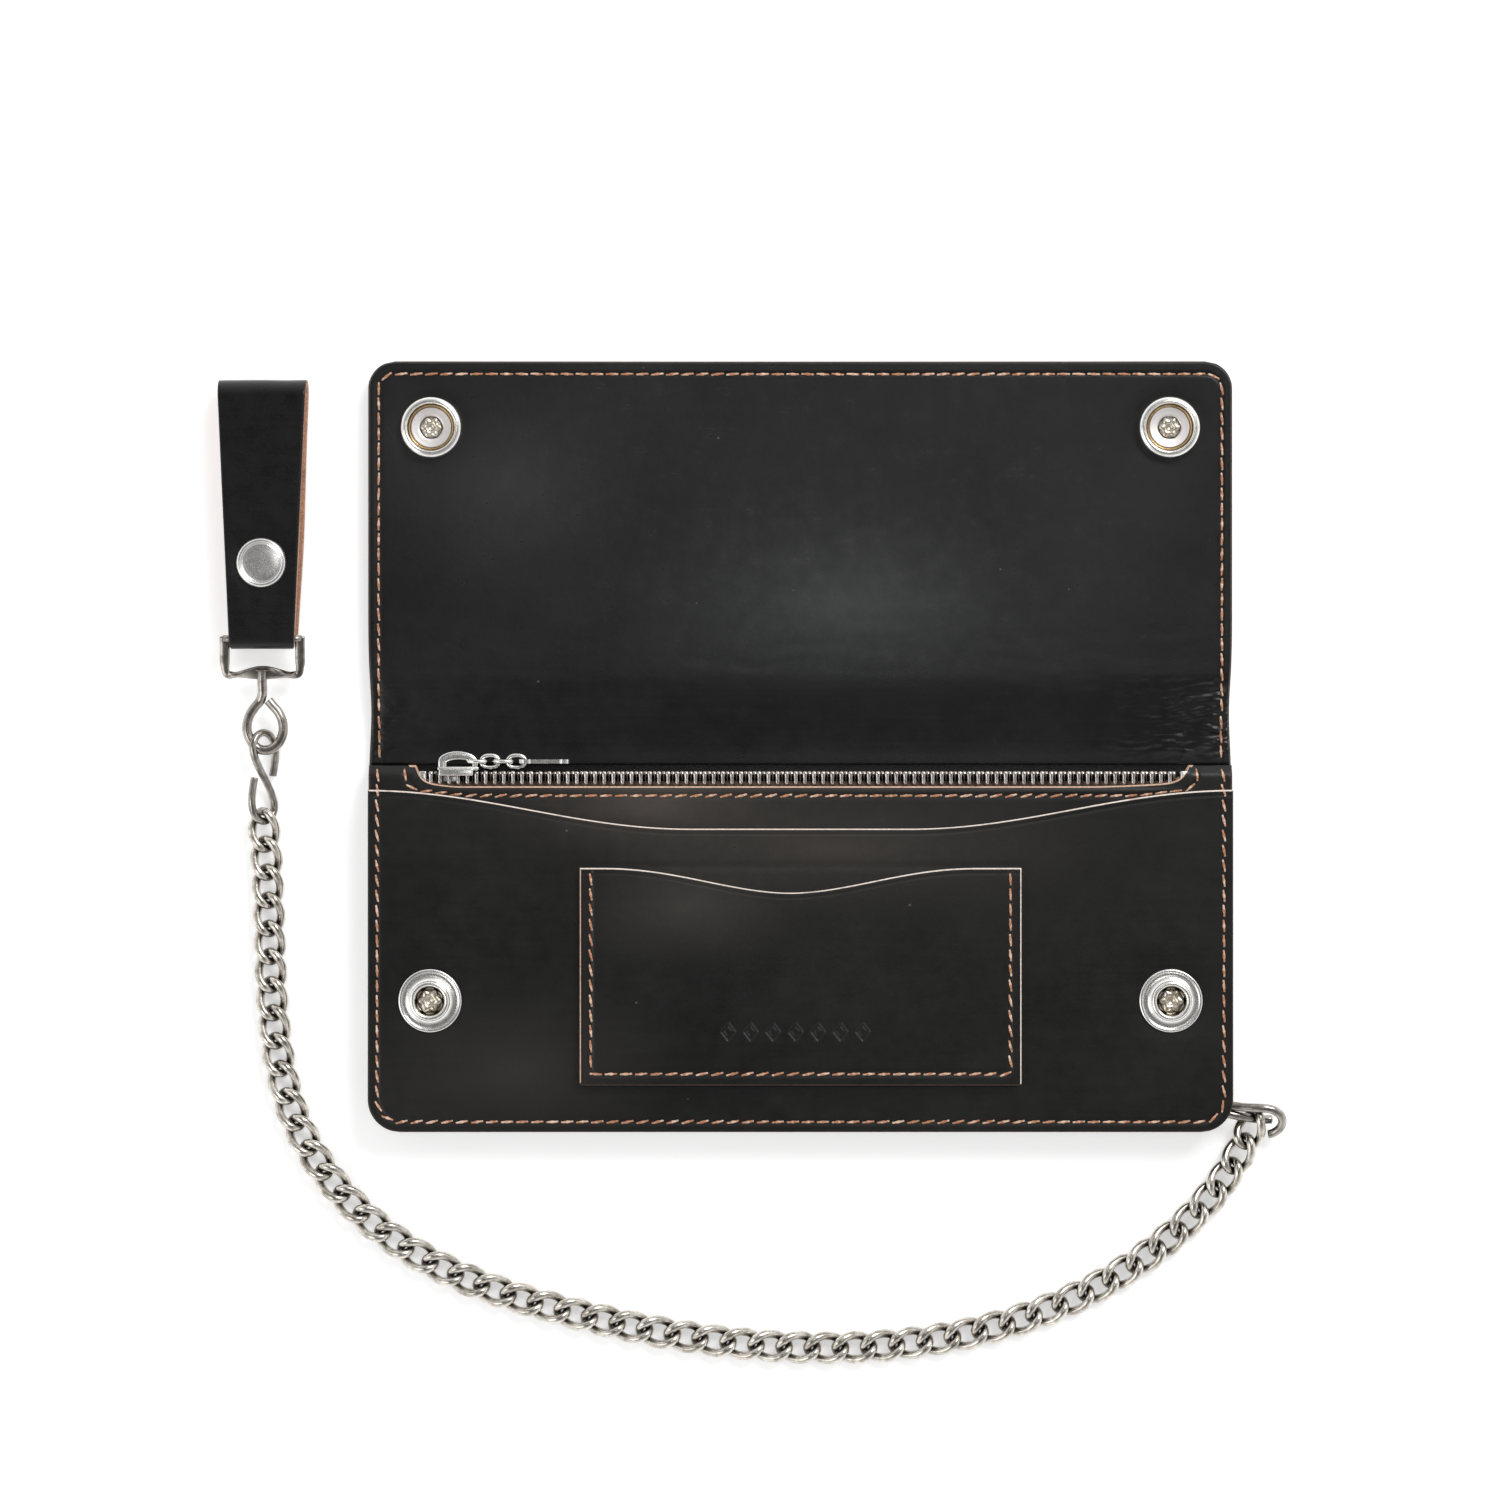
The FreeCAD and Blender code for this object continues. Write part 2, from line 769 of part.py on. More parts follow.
def socket_profile(radius, mouth, cavity, bore, height, floor):
    """Socket ring: a floor with a bore for the tube, and a wall with a groove for the spring."""
    return [
        (bore, 0),
        (radius, 0),
        (radius, height * 0.25),
        (mouth, height),
        (cavity, height),
        (cavity, height * 0.75),
        (cavity + 0.5, height * 0.75),
        (cavity + 0.5, height * 0.4),
        (cavity, height * 0.4),
        (cavity, floor),
        (bore, floor),
    ]


def spring_profile(inner, low, high):
    return [(inner, low), (inner + 0.4, low), (inner + 0.4, high), (inner, high)]


def stud_profile(flange, neck, head, bore, flange_thick, height):
    """Stud: a flange on the leather and a hollow ring with a swelling that the spring grips."""
    return [
        (bore, 0),
        (flange, 0),
        (flange, flange_thick),
        (neck, flange_thick),
        (neck, height * 0.45),
        (head, height * 0.65),
        (head, height * 0.85),
        (head - 0.5, height),
        (head - 1.3, height),
        (head - 1.3, flange_thick),
        (bore, flange_thick),
    ]


def post_profile(head, thick, tube, reach, flare):
    """Post behind the leather: a flat head, a tube up through it, and a rolled end inside the stud."""
    return [
        (0, 0),
        (head, 0),
        (head, thick),
        (tube, thick),
        (tube, thick + reach),
        (flare, thick + reach + 0.1),
        (flare, thick + reach + 0.5),
        (flare * 0.6, thick + reach + 0.7),
        (flare * 0.6, thick + reach + 0.2),
        (0, thick + reach + 0.2),
    ]


def make_wallet_snaps():
    """Two press studs: cap, socket and spring on the flap, stud and post on the front panel."""
    across = size.snap_across
    along = size.snap_along
    leather = (flap_face - size.flap_lift).value
    socket_floor = 0.4
    tube_reach = leather + socket_floor
    cap = turned("flap_snap_cap", cap_profile(7.4, 1.95, 1.8, tube_reach + 0.05, 2.5), across, along, 0)
    pair("flap_snap_caps", cap)
    profile = socket_profile(6.7, 5.6, 4.7, 1.85, 2.75, socket_floor)
    socket = turned("flap_snap_socket", profile, across, along, flap_face)
    pair("flap_snap_sockets", socket)
    spring = turned("flap_snap_spring", spring_profile(4.72, 1.2, 1.9), across, along, flap_face)
    pair("flap_snap_springs", spring)
    stud = turned("body_snap_stud", stud_profile(6.95, 4.1, 4.4, 1.85, 0.6, 2.8), across, -along, panel_face)
    pair("body_snap_studs", stud)
    profile = post_profile(6.0, 0.45, 1.8, size.panel_leather.value + 0.7, 2.4)
    post = turned("body_snap_post", profile, across, -along, slip_roof - 0.5)
    pair("body_snap_posts", post)


def make_strap_snaps():
    """The strap's press stud: cap and socket on the doubled front, stud and post on the rear."""
    across = size.strap_middle
    along = size.strap_snap_along
    rear_face = size.strap_rear + size.strap_leather
    wrapped_floor = size.strap_face - 4.5
    # the cap's dome is up, so it is turned over about the strap's own axis
    profile = cap_profile(5.5, 1.4, 1.4, 4.85, 1.75)
    cap = turned("strap_snap_cap", profile, across, along, size.strap_face + 1.4)
    cap.Placement.Rotation = FreeCAD.Rotation(FreeCAD.Vector(1, 0, 0), 180)
    node(cap, "strap_snap_cap")
    profile = socket_profile(5.15, 4.4, 3.6, 1.45, 1.9, 0.3)
    socket = turned("strap_snap_socket", profile, across, along, wrapped_floor)
    socket.Placement.Rotation = FreeCAD.Rotation(FreeCAD.Vector(1, 0, 0), 180)
    node(socket, "strap_snap_socket")
    stud = turned("strap_snap_stud", stud_profile(4.6, 3.1, 3.3, 1.45, 0.25, 1.75), across, along, rear_face)
    node(stud, "strap_snap_stud")
    profile = post_profile(4.2, 0.5, 1.4, 1.6, 1.7)
    post = turned("strap_snap_post", profile, across, along, size.strap_rear - 0.52)
    node(post, "strap_snap_post")


# ---------------------------------------------------------------- belt strap


def strap_side_cuts(body, name, roof, depth):
    """Trim both long sides so that the strap narrows from its top fold to the swivel frame."""
    wide = size.strap_width / 2
    waist = size.strap_waist / 2
    far = size.strap_high + 2
    near = size.strap_low - 2
    middle = size.strap_middle
    for side, sign in (("left", -1), ("right", 1)):
        corners = [
            (middle + sign * wide, far),
            (middle + sign * waist, near),
            (middle + sign * (wide + 2), near),
            (middle + sign * (wide + 2), far),
        ]
        cut = outline(body, "{}_{}".format(name, side), "XY_Plane", corners, roof)
        pocket(body, cut, depth)


def strap_hole(body, name, radius, roof, depth):
    hole = ring(body, name + "_hole", "XY_Plane", (size.strap_middle, size.strap_snap_along), radius, roof)
    pocket(body, hole, depth)


def make_strap_front():
    """Front layer from the top fold down, round the swivel frame's bar, and back up behind itself."""
    name = "belt_strap_front"
    body = new_body(name)
    face = size.strap_face
    skin = face - size.strap_leather
    wrapped_floor = face - 4.5
    wrapped_skin = wrapped_floor + size.strap_leather
    bar = size.frame_bar_along
    low = size.strap_low
    fold = size.strap_high - 4.0
    profile = [
        (fold, face),
        (bar - 0.6, face),
        (low + 0.3, face - 1.2),
        (low, size.frame_bar_height),
        (low + 0.3, wrapped_floor + 1.2),
        (bar - 0.6, wrapped_floor),
        (42.0, wrapped_floor),
        (42.0, wrapped_skin),
        (bar, wrapped_skin),
        (bar - 0.9, size.frame_bar_height - 0.6),
        (bar - 0.9, size.frame_bar_height + 0.6),
        (bar, skin),
        (fold, skin),
    ]
    side = outline(body, "strap_front_profile", "YZ_Plane", profile, size.strap_middle)
    pad(body, side, size.strap_width, True)
    strap_side_cuts(body, "strap_front_trim", face + 1, 8.0)
    strap_hole(body, name, 1.45, face + 1, 8.0)
    return node(body, name)


def make_strap_rear():
    """Rear layer that hangs from the top fold and snaps to the front."""
    name = "belt_strap_rear"
    body = new_body(name)
    fold = size.strap_high - 4.0
    corners = [
        (size.strap_middle - size.strap_width / 2, 20.0),
        (size.strap_middle + size.strap_width / 2, 20.0),
        (size.strap_middle + size.strap_width / 2, fold),
        (size.strap_middle - size.strap_width / 2, fold),
    ]
    base = outline(body, "strap_rear_outline", "XY_Plane", corners, size.strap_rear)
    pad(body, base, size.strap_leather)
    strap_side_cuts(body, "strap_rear_trim", size.strap_rear + 2, 3.0)
    strap_hole(body, name, 1.45, size.strap_rear + 2, 3.0)
    return node(body, name)


# ---------------------------------------------------------------- swivel and hooks


def tilted_from_bar():
    """The swivel's own frame: its origin on the bar that the strap hangs from, dipping to the table."""
    centre = FreeCAD.Vector(size.strap_middle.value, size.frame_bar_along.value, size.frame_bar_height.value)
    return FreeCAD.Placement(centre, FreeCAD.Rotation(FreeCAD.Vector(1, 0, 0), size.frame_tilt.value))


def make_swivel_frame():
    """A flat rectangular frame: round bar in the strap's fold, two cheeks, and a lower bar with a bore."""
    half = size.frame_half.value
    drop = size.frame_drop.value
    bar = size.frame_bar.value
    cheek = 1.85
    thick = 1.7
    pieces = []
    for left in (-half, half - cheek):
        pieces.append(Part.makeBox(cheek, drop + bar / 2, thick, FreeCAD.Vector(left, -drop, -thick / 2)))
    pieces.append(Part.makeBox(2 * half, 1.6, thick, FreeCAD.Vector(-half, -drop, -thick / 2)))
    pieces.append(Part.makeBox(6.4, 1.4, 4.4, FreeCAD.Vector(-3.2, -drop + 0.2, -2.2)))
    across = FreeCAD.Vector(1, 0, 0)
    rod = Part.makeCylinder(bar / 2, 2 * half, FreeCAD.Vector(-half, 0, 0), across)
    shape = rod.fuse(pieces)
    shank_hole = size.eye_wire.value / 2 + 0.05
    drill = Part.makeCylinder(shank_hole, 4, FreeCAD.Vector(0, -drop - 1, 0), FreeCAD.Vector(0, 1, 0))
    solid("swivel_frame", shape.cut(drill).removeSplitter(), tilted_from_bar())


def make_swivel_eye():
    """An eye bent from round wire, with a headed shank that turns in the frame's lower bar."""
    wire = size.eye_wire.value
    radius = size.eye_radius.value
    drop = size.frame_drop.value
    head_floor = -drop + 1.7
    centre = -19.9
    neck = -11.2
    points = [
        FreeCAD.Vector(0, neck, 0),
        FreeCAD.Vector(-0.35, -14.2, 0),
    ]
    for turn in range(130, 430, 30):
        angle = math.radians(turn)
        points.append(FreeCAD.Vector(radius * math.cos(angle), centre + radius * math.sin(angle), 0))
    points.append(FreeCAD.Vector(2.0, centre + radius * 0.98, 0))
    upward = FreeCAD.Vector(0, 1, 0)
    shank = Part.makeCylinder(wire / 2, head_floor + 0.3 - neck, FreeCAD.Vector(0, neck, 0), upward)
    head = Part.makeCylinder(1.75, 0.9, FreeCAD.Vector(0, head_floor, 0), upward)
    eye = swept_wire(points, wire, -upward)
    solid("swivel_eye", eye.fuse([shank, head]), tilted_from_bar())


def make_strap_hook():
    """An S of round wire, rolled about its length so that it threads the eye and the first link."""
    half = [
        (2.6, 0.2),
        (3.2, 3.4),
        (3.15, 6.8),
        (1.9, 9.0),
        (0.0, 9.75),
        (-1.9, 9.0),
        (-3.0, 6.9),
        (-2.6, 4.6),
    ]
    outline_points = half + [(0, 0)] + [(-x, -y) for x, y in reversed(half)]
    points = [FreeCAD.Vector(x, y, 0) for x, y in outline_points]
    shape = swept_wire(points, size.hook_wire.value)
    centre = FreeCAD.Vector(size.strap_middle.value, size.hook_along.value, size.hook_height.value)
    spin = FreeCAD.Rotation(FreeCAD.Vector(0, 1, 0), size.hook_tilt.value)
    solid("s_hook_strap", shape, FreeCAD.Placement(centre, spin))


def make_wallet_hook():
    """A wire hook that turns about the hidden rivet, leaves the seam as two legs, and ends in a loop."""
    slot_height = (coin_floor.value + coin_roof.value) / 2
    legs = [
        (20.0, -0.4, -2.9),
        (16.3, -0.9, -1.7),
        (12.6, -1.0, -0.4),
        (9.0, -1.0, 0.0),
        (4.0, -2.1, 0.0),
        (0.0, -2.6, 0.0),
        (-1.85, -1.85, 0.0),
        (-2.6, 0.0, 0.0),
        (-1.85, 1.85, 0.0),
        (0.0, 2.6, 0.0),
        (4.0, 2.1, 0.0),
        (9.0, 1.0, 0.0),
        (12.6, 1.1, 0.5),
        (16.0, 1.7, 1.5),
        (19.2, 2.0, 1.6),
        (21.6, 0.9, 0.9),
        (22.2, -0.8, -0.1),
        (21.5, -2.5, -1.1),
        (20.0, -3.6, -1.7),
    ]
    points = [FreeCAD.Vector(*leg) for leg in legs]
    shape = swept_wire(points, size.anchor_wire.value)
    centre = FreeCAD.Vector(size.anchor_across.value, size.anchor_along.value, slot_height)
    spin = FreeCAD.Rotation(FreeCAD.Vector(0, 0, 1), size.anchor_turn.value)
    solid("s_hook_wallet", shape, FreeCAD.Placement(centre, spin))


def make_anchor_rivet():
    """The rivet hidden in the lower right corner that the hook turns about, and its pressed-on cap."""
    head = 3.0
    floor = bill_floor + 0.35
    reach = (pocket_face - floor).value
    rivet = [
        (0, 0),
        (head, 0),
        (head, 0.6),
        (1.5, 0.6),
        (1.5, reach),
        (0.95, reach),
        (0.95, reach + 0.45),
        (0, reach + 0.45),
    ]
    node(turned("anchor_rivet", rivet, size.anchor_across, size.anchor_along, floor), "anchor_rivet")
    cap = [(1.0, 0.02), (head, 0.02), (head, 0.45), (1.0, 0.45)]
    rivet_cap = turned("anchor_rivet_cap", cap, size.anchor_across, size.anchor_along, pocket_face)
    node(rivet_cap, "anchor_rivet_cap")


# ---------------------------------------------------------------- chain

# where the chain lies on the table, from the strap's hook to the wallet's hook
CHAIN_COURSE = [
    (-118.2, -22.5, 3.1),
    (-116.6, -55.0, 2.2),
    (-110.0, -92.0, 2.2),
    (-90.0, -115.4, 2.2),
    (-50.7, -131.8, 2.2),
    (-5.0, -139.3, 2.2),
    (41.8, -135.3, 2.2),
    (76.0, -119.6, 2.2),
    (94.3, -101.0, 2.4),
    (100.2, -88.2, 3.4),
]
# each of the last links is rolled this much further than the one before, to reach round the hook's leg
END_ROLL = -10.0
ROLLED_LINKS = 3


def chain_points():
    """Places where one link meets the next, evenly spaced along the chain's course."""
    course = Part.BSplineCurve()
    course.interpolate([FreeCAD.Vector(*place) for place in CHAIN_COURSE])
    return course.discretize(Number=int(size.link_count.value) + 1)


def link_move(start, end, roll):
    """Place a link with its length from start to end, its width level and then rolled about its length."""
    along = (end - start).normalize()
    across = FreeCAD.Vector(0, 0, 1).cross(along).normalize()
    up = along.cross(across)
    middle = (start + end) * 0.5
    matrix = FreeCAD.Matrix(
        along.x, across.x, up.x, middle.x,
        along.y, across.y, up.y, middle.y,
        along.z, across.z, up.z, middle.z,
        0, 0, 0, 1,
    )
    spin = FreeCAD.Placement(FreeCAD.Vector(), FreeCAD.Rotation(FreeCAD.Vector(1, 0, 0), roll))
    return FreeCAD.Placement(matrix).multiply(spin)


def make_chain():
    """Curb links, three to each segment that bends as one."""
    places = chain_points()
    length = size.link_length.value
    link = link_shape(length, size.link_width.value, size.link_wire.value, size.link_twist.value)
    group = int(size.links_in_segment.value)
    segments = int(size.link_count.value) // group
    for segment in range(segments):
        links = []
        for number in range(segment * group, segment * group + group):
            piece = link.copy()
            turns = max(0, number + 1 + ROLLED_LINKS - group * segments)
            piece.Placement = link_move(places[number], places[number + 1], turns * END_ROLL)
            links.append(piece)
        solid("chain_segment_{:02d}".format(segment + 1), Part.makeCompound(links))


# ---------------------------------------------------------------- build, check and write


def check_cuts():
    """Every cut must have taken something away."""
    for item in doc.Objects:
        if item.TypeId == "PartDesign::Pocket":
            before = item.BaseFeature.Shape.Volume
            if item.Shape.Volume > before - 1e-6:
                raise ValueError("{} cuts nothing".format(item.Name))


def check_all():
    for item in doc.Objects:
        if "Invalid" in item.State or "Error" in item.State:
            raise ValueError("{} failed: {}".format(item.Name, item.State))
    for item in NODES:
        if item.Shape.isNull() or not item.Shape.isValid():
            raise ValueError("{} has no valid shape".format(item.Label))


def write_parts():
    os.makedirs("parts", exist_ok=True)
    for item in NODES:
        item.Shape.exportStep("parts/{}.step".format(item.Label))


make_shell()
make_flap()
make_zip_pocket()
make_front_panel()
make_card_pocket()
make_threads()
make_tapes()
make_teeth()
make_stops()
make_pull(*[length.value for length in make_slider()])
make_wallet_snaps()
make_strap_snaps()
make_strap_front()
make_strap_rear()
make_swivel_frame()
make_swivel_eye()
make_strap_hook()
make_wallet_hook()
make_anchor_rivet()
make_chain()
doc.recompute()
check_cuts()
check_all()
write_parts()
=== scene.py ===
import json
import math

import bmesh
import bpy
import numpy as np
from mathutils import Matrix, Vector

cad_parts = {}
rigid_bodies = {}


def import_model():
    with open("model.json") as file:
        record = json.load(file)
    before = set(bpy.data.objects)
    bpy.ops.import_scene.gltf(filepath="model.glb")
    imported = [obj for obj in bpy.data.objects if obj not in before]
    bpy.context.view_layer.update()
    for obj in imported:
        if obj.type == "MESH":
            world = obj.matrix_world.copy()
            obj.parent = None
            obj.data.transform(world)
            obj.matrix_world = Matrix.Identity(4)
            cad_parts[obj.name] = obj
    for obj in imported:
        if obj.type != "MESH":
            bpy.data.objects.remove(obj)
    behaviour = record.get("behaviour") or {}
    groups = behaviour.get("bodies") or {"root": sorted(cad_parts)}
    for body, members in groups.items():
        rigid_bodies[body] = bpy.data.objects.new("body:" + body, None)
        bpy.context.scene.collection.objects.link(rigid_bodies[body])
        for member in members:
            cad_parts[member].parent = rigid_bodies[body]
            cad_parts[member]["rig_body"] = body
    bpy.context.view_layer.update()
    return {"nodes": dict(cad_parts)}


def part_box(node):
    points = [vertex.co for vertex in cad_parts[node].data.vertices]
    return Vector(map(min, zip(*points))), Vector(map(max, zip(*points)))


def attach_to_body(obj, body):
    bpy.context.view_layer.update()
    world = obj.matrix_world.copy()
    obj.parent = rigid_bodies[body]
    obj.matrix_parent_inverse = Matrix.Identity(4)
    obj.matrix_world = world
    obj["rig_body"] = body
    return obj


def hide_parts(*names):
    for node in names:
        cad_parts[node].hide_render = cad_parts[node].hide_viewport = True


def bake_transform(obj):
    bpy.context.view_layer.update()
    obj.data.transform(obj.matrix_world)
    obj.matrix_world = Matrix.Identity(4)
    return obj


# Looks for the chain wallet: leather sheets, stitches, zip, press studs, strap and metalwork.
# Shapes are worked out in millimetres in the frame's own axes, and add_mesh turns them into metres.

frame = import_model()

MM = 0.001


def node_box(name):
    """Lowest and highest corner of a CAD node, in millimetres."""
    low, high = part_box(name)
    return np.array(low) / MM, np.array(high) / MM


# ---------------------------------------------------------------- sizes read from the frame

SHELL_LOW, SHELL_HIGH = node_box("shell_back")
FLAP_LOW, FLAP_HIGH = node_box("shell_flap")
LINING_LOW, LINING_HIGH = node_box("flap_lining")
POCKET_LOW, POCKET_HIGH = node_box("zip_pocket")
PANEL_LOW, PANEL_HIGH = node_box("front_panel")
CARD_LOW, CARD_HIGH = node_box("card_pocket")
TEETH_LOW, TEETH_HIGH = node_box("zipper_teeth_front")
BACK_TEETH_LOW, BACK_TEETH_HIGH = node_box("zipper_teeth_back")
SOCKET_LOW, SOCKET_HIGH = node_box("flap_snap_sockets")
STRAP_LOW, STRAP_HIGH = node_box("belt_strap_front")
REAR_LOW, REAR_HIGH = node_box("belt_strap_rear")
SLIDER_LOW, SLIDER_HIGH = node_box("zipper_slider")

HALF = PANEL_HIGH[0]
SKIN = SHELL_HIGH[2] - SHELL_LOW[2]
LINING = LINING_HIGH[2] - LINING_LOW[2]
FLAP_LIFT = FLAP_LOW[2]
SNAP_ACROSS = SOCKET_HIGH[0] - (SOCKET_HIGH[1] - SOCKET_LOW[1]) / 2
SNAP_ALONG = (SOCKET_LOW[1] + SOCKET_HIGH[1]) / 2

# ---------------------------------------------------------------- sizes that only the looks use

THREAD_HALF = 0.3
STITCH_PITCH = 3.3
STITCH_LENGTH = 3.02
STITCH_SLANT = 9
FLAP_STITCH_LENGTH = 3.12
FLAP_STITCH_SLANT = 2
FLAP_CORNER = 6.0
BODY_CORNER = 7.5
LAYER_STEP = 0.35
GROOVE_DEPTH = 0.16
GROOVE_WIDTH = 0.5
DENT_DEPTH = 0.35
DENT_RADIUS = 6.9
DENT_REACH = 3.5
CREASE_DEPTH = 0.10
CREASE_INSET = 1.15
CREASE_WIDTH = 0.22
SHELL_BEVEL = 0.35
LINING_BEVEL = 0.3
POCKET_BEVEL = 0.42
PANEL_BEVEL = 0.30
CARD_BEVEL = 0.26
TAPE_BEVEL = 0.12
SNAP_STEP = 0.32
SHEET_STEP = 1.0
SNAP_GRID_REACH = 4.5
WINDOW_LEFT = -84.4
WINDOW_RIGHT = 85.3
WINDOW_FRONT = -15.9
WINDOW_BACK = -15.4


# ---------------------------------------------------------------- small maths


def smooth_step(value, start, end):
    """0 before start, 1 after end, and a smooth rise between."""
    share = np.clip((value - start) / (end - start), 0, 1)
    return share * share * (3 - 2 * share)


def field(across, along, seed):
    """A smooth random field between -1 and 1 whose cells are one unit wide."""
    cell_x = np.floor(across)
    cell_y = np.floor(along)
    part_x = across - cell_x
    part_y = along - cell_y
    ease_x = smooth_step(part_x, 0, 1)
    ease_y = smooth_step(part_y, 0, 1)

    def corner(step_x, step_y):
        wave = np.sin((cell_x + step_x) * 127.1 + (cell_y + step_y) * 311.7 + seed * 74.7) * 43758.5453
        return (wave - np.floor(wave)) * 2 - 1

    low = corner(0, 0) * (1 - ease_x) + corner(1, 0) * ease_x
    high = corner(0, 1) * (1 - ease_x) + corner(1, 1) * ease_x
    return low * (1 - ease_y) + high * ease_y


def frame_distance(across, along, run):
    """Distance from a rounded rectangle's outline, negative inside it.

    run gives left, right, low, high, radius.
    """
    left, right, low, high, radius = run
    over_x = np.abs(across - (left + right) / 2) - (right - left) / 2 + radius
    over_y = np.abs(along - (low + high) / 2) - (high - low) / 2 + radius
    outside = np.hypot(np.maximum(over_x, 0), np.maximum(over_y, 0))
    inside = np.minimum(np.maximum(over_x, over_y), 0)
    return outside + inside - radius


def stations(low, high, marks, fine, coarse, reach=2.5):
    """Grid places between low and high as shares of the way, close together near the marks."""
    places = [low]
    while places[-1] < high:
        near = min(abs(places[-1] - mark) for mark in marks) < reach
        places.append(places[-1] + (fine if near else coarse))
    places = np.array(places)
    return (places - low) / (places[-1] - low)


# ---------------------------------------------------------------- meshes


def add_mesh(name, points, faces, materials, looks=None):
    """A mesh from points in millimetres. It also keeps its rest places, which its materials read."""
    points = np.asarray(points, float) * MM
    mesh = bpy.data.meshes.new(name)
    mesh.from_pydata(points.tolist(), [], [tuple(face) for face in faces])
    for material in materials:
        mesh.materials.append(material)
    if looks is not None:
        mesh.polygons.foreach_set("material_index", np.asarray(looks, dtype=np.int32))
    mesh.polygons.foreach_set("use_smooth", [True] * len(mesh.polygons))
    rest = mesh.attributes.new("rest_place", "FLOAT_VECTOR", "POINT")
    rest.data.foreach_set("vector", points.ravel())
    mesh.update()
    piece = bpy.data.objects.new(name, mesh)
    bpy.context.scene.collection.objects.link(piece)
    return piece


def add_parts(name, parts, look):
    """Several (points, faces) meshes as one piece of one material."""
    points, faces = joined(parts)
    return add_mesh(name, points, faces, [look])


def attach(piece, body, slot_name, *nodes):
    """Let a piece ride on a body in place of the given CAD nodes. Its slot name is not used."""
    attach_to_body(piece, body)
    if nodes:
        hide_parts(*nodes)


def grid_faces(rows, columns, start=0, flip=False, wrap=False):
    """Quads between the points of a grid, row by row. wrap joins the last column to the first."""
    faces = []
    for row in range(rows - 1):
        for column in range(columns if wrap else columns - 1):
            following = (column + 1) % columns
            quad = [
                start + row * columns + column,
                start + row * columns + following,
                start + (row + 1) * columns + following,
                start + (row + 1) * columns + column,
            ]
            faces.append(quad[::-1] if flip else quad)
    return faces


def joined(parts):
    """Several (points, faces) meshes as one."""
    points = []
    faces = []
    count = 0
    for part_points, part_faces in parts:
        points.append(np.asarray(part_points, float))
        faces.extend([[index + count for index in face] for face in part_faces])
        count += len(part_points)
    return np.concatenate(points), faces


# which of a rim's three looks each band of it takes: two upper bevels, the cut face, two lower bevels
BAND_LOOK = (0, 0, 1, 2, 2)


def rounded_outline(
    left, right, low, high, low_radius, high_radius, open_low=False, open_high=False, warp=None
):
    """Places a share across and a share along inside a sheet with round corners, pulled in by an inset."""

    def outline(across, along, inset):
        near = low if open_low else low + inset
        far = high if open_high else high - inset
        place_y = near + along * (far - near)
        cut = np.zeros_like(place_y)
        for radius, depth in ((low_radius, place_y - near), (high_radius, far - place_y)):
            size = max(radius - inset, 0)
            if size > 0:
                short = np.clip(size - depth, 0, size)
                cut = np.maximum(cut, size - np.sqrt(size * size - short * short))
        start = left + inset + cut
        end = right - inset - cut
        place_x = start + across * (end - start)
        if warp:
            place_y = warp(place_x, place_y)
        return place_x, place_y

    return outline


def slab(
    name, outline, across, along, top, bottom, bevel, materials, edge_look, opened=(False, False), bend=None
):
    """A sheet of leather with rounded rims.

    top and bottom are height formulas, and edge_look picks the rim's materials. opened says whether the low
    end and the high end have no rim, because another sheet goes on from there.
    """
    rows = len(along)
    columns = len(across)
    share_x, share_y = np.meshgrid(across, along)
    inner_x, inner_y = outline(share_x, share_y, bevel)
    faces_of_sheet = []
    for surface in (top, bottom):
        face_points = np.stack([inner_x, inner_y, surface(inner_x, inner_y)], axis=-1)
        faces_of_sheet.append(face_points.reshape(-1, 3))
    loop = [(0, column) for column in range(columns)]
    loop += [(row, columns - 1) for row in range(1, rows)]
    loop += [(rows - 1, column) for column in range(columns - 2, -1, -1)]
    loop += [(row, 0) for row in range(rows - 2, 0, -1)]
    loop_rows = np.array([row for row, _ in loop])
    loop_columns = np.array([column for _, column in loop])
    loop_x = across[loop_columns]
    loop_y = along[loop_rows]
    rims = []
    for surface, inset, lift in (
        (top, bevel * 0.3, -bevel * 0.25),
        (top, 0, -bevel * 0.9),
        (bottom, 0, bevel * 0.9),
        (bottom, bevel * 0.3, bevel * 0.25),
    ):
        rim_x, rim_y = outline(loop_x, loop_y, inset)
        rims.append(np.stack([rim_x, rim_y, surface(rim_x, rim_y) + lift], axis=-1))
    count = rows * columns
    size = len(loop)
    top_loop = loop_rows * columns + loop_columns
    rings = [top_loop]
    for number in range(4):
        rings.append(count + number * size + np.arange(size))
    rings.append(count + 4 * size + top_loop)
    points = np.concatenate([faces_of_sheet[0]] + rims + [faces_of_sheet[1]])
    faces = grid_faces(rows, columns)
    looks = [0] * len(faces)
    for number in range(size):
        after = (number + 1) % size
        both_low = loop_rows[number] == 0 and loop_rows[after] == 0
        both_high = loop_rows[number] == rows - 1 and loop_rows[after] == rows - 1
        if (both_low and opened[0]) or (both_high and opened[1]):
            continue
        rim_looks = edge_look(rims[1][number], both_high)
        for band in range(5):
            upper, lower = rings[band], rings[band + 1]
            faces.append([upper[number], lower[number], lower[after], upper[after]])
            looks.append(rim_looks[BAND_LOOK[band]])
    below = grid_faces(rows, columns, count + 4 * size, flip=True)
    faces += below
    looks += [2 if len(materials) > 2 else 0] * len(below)
    if bend:
        points = bend(points)
    return add_mesh(name, points, faces, materials, looks)


def end_caps(count, sides):
    """Faces that close the first and the last ring of a tube."""
    return [list(range(sides))[::-1], [(count - 1) * sides + column for column in range(sides)]]


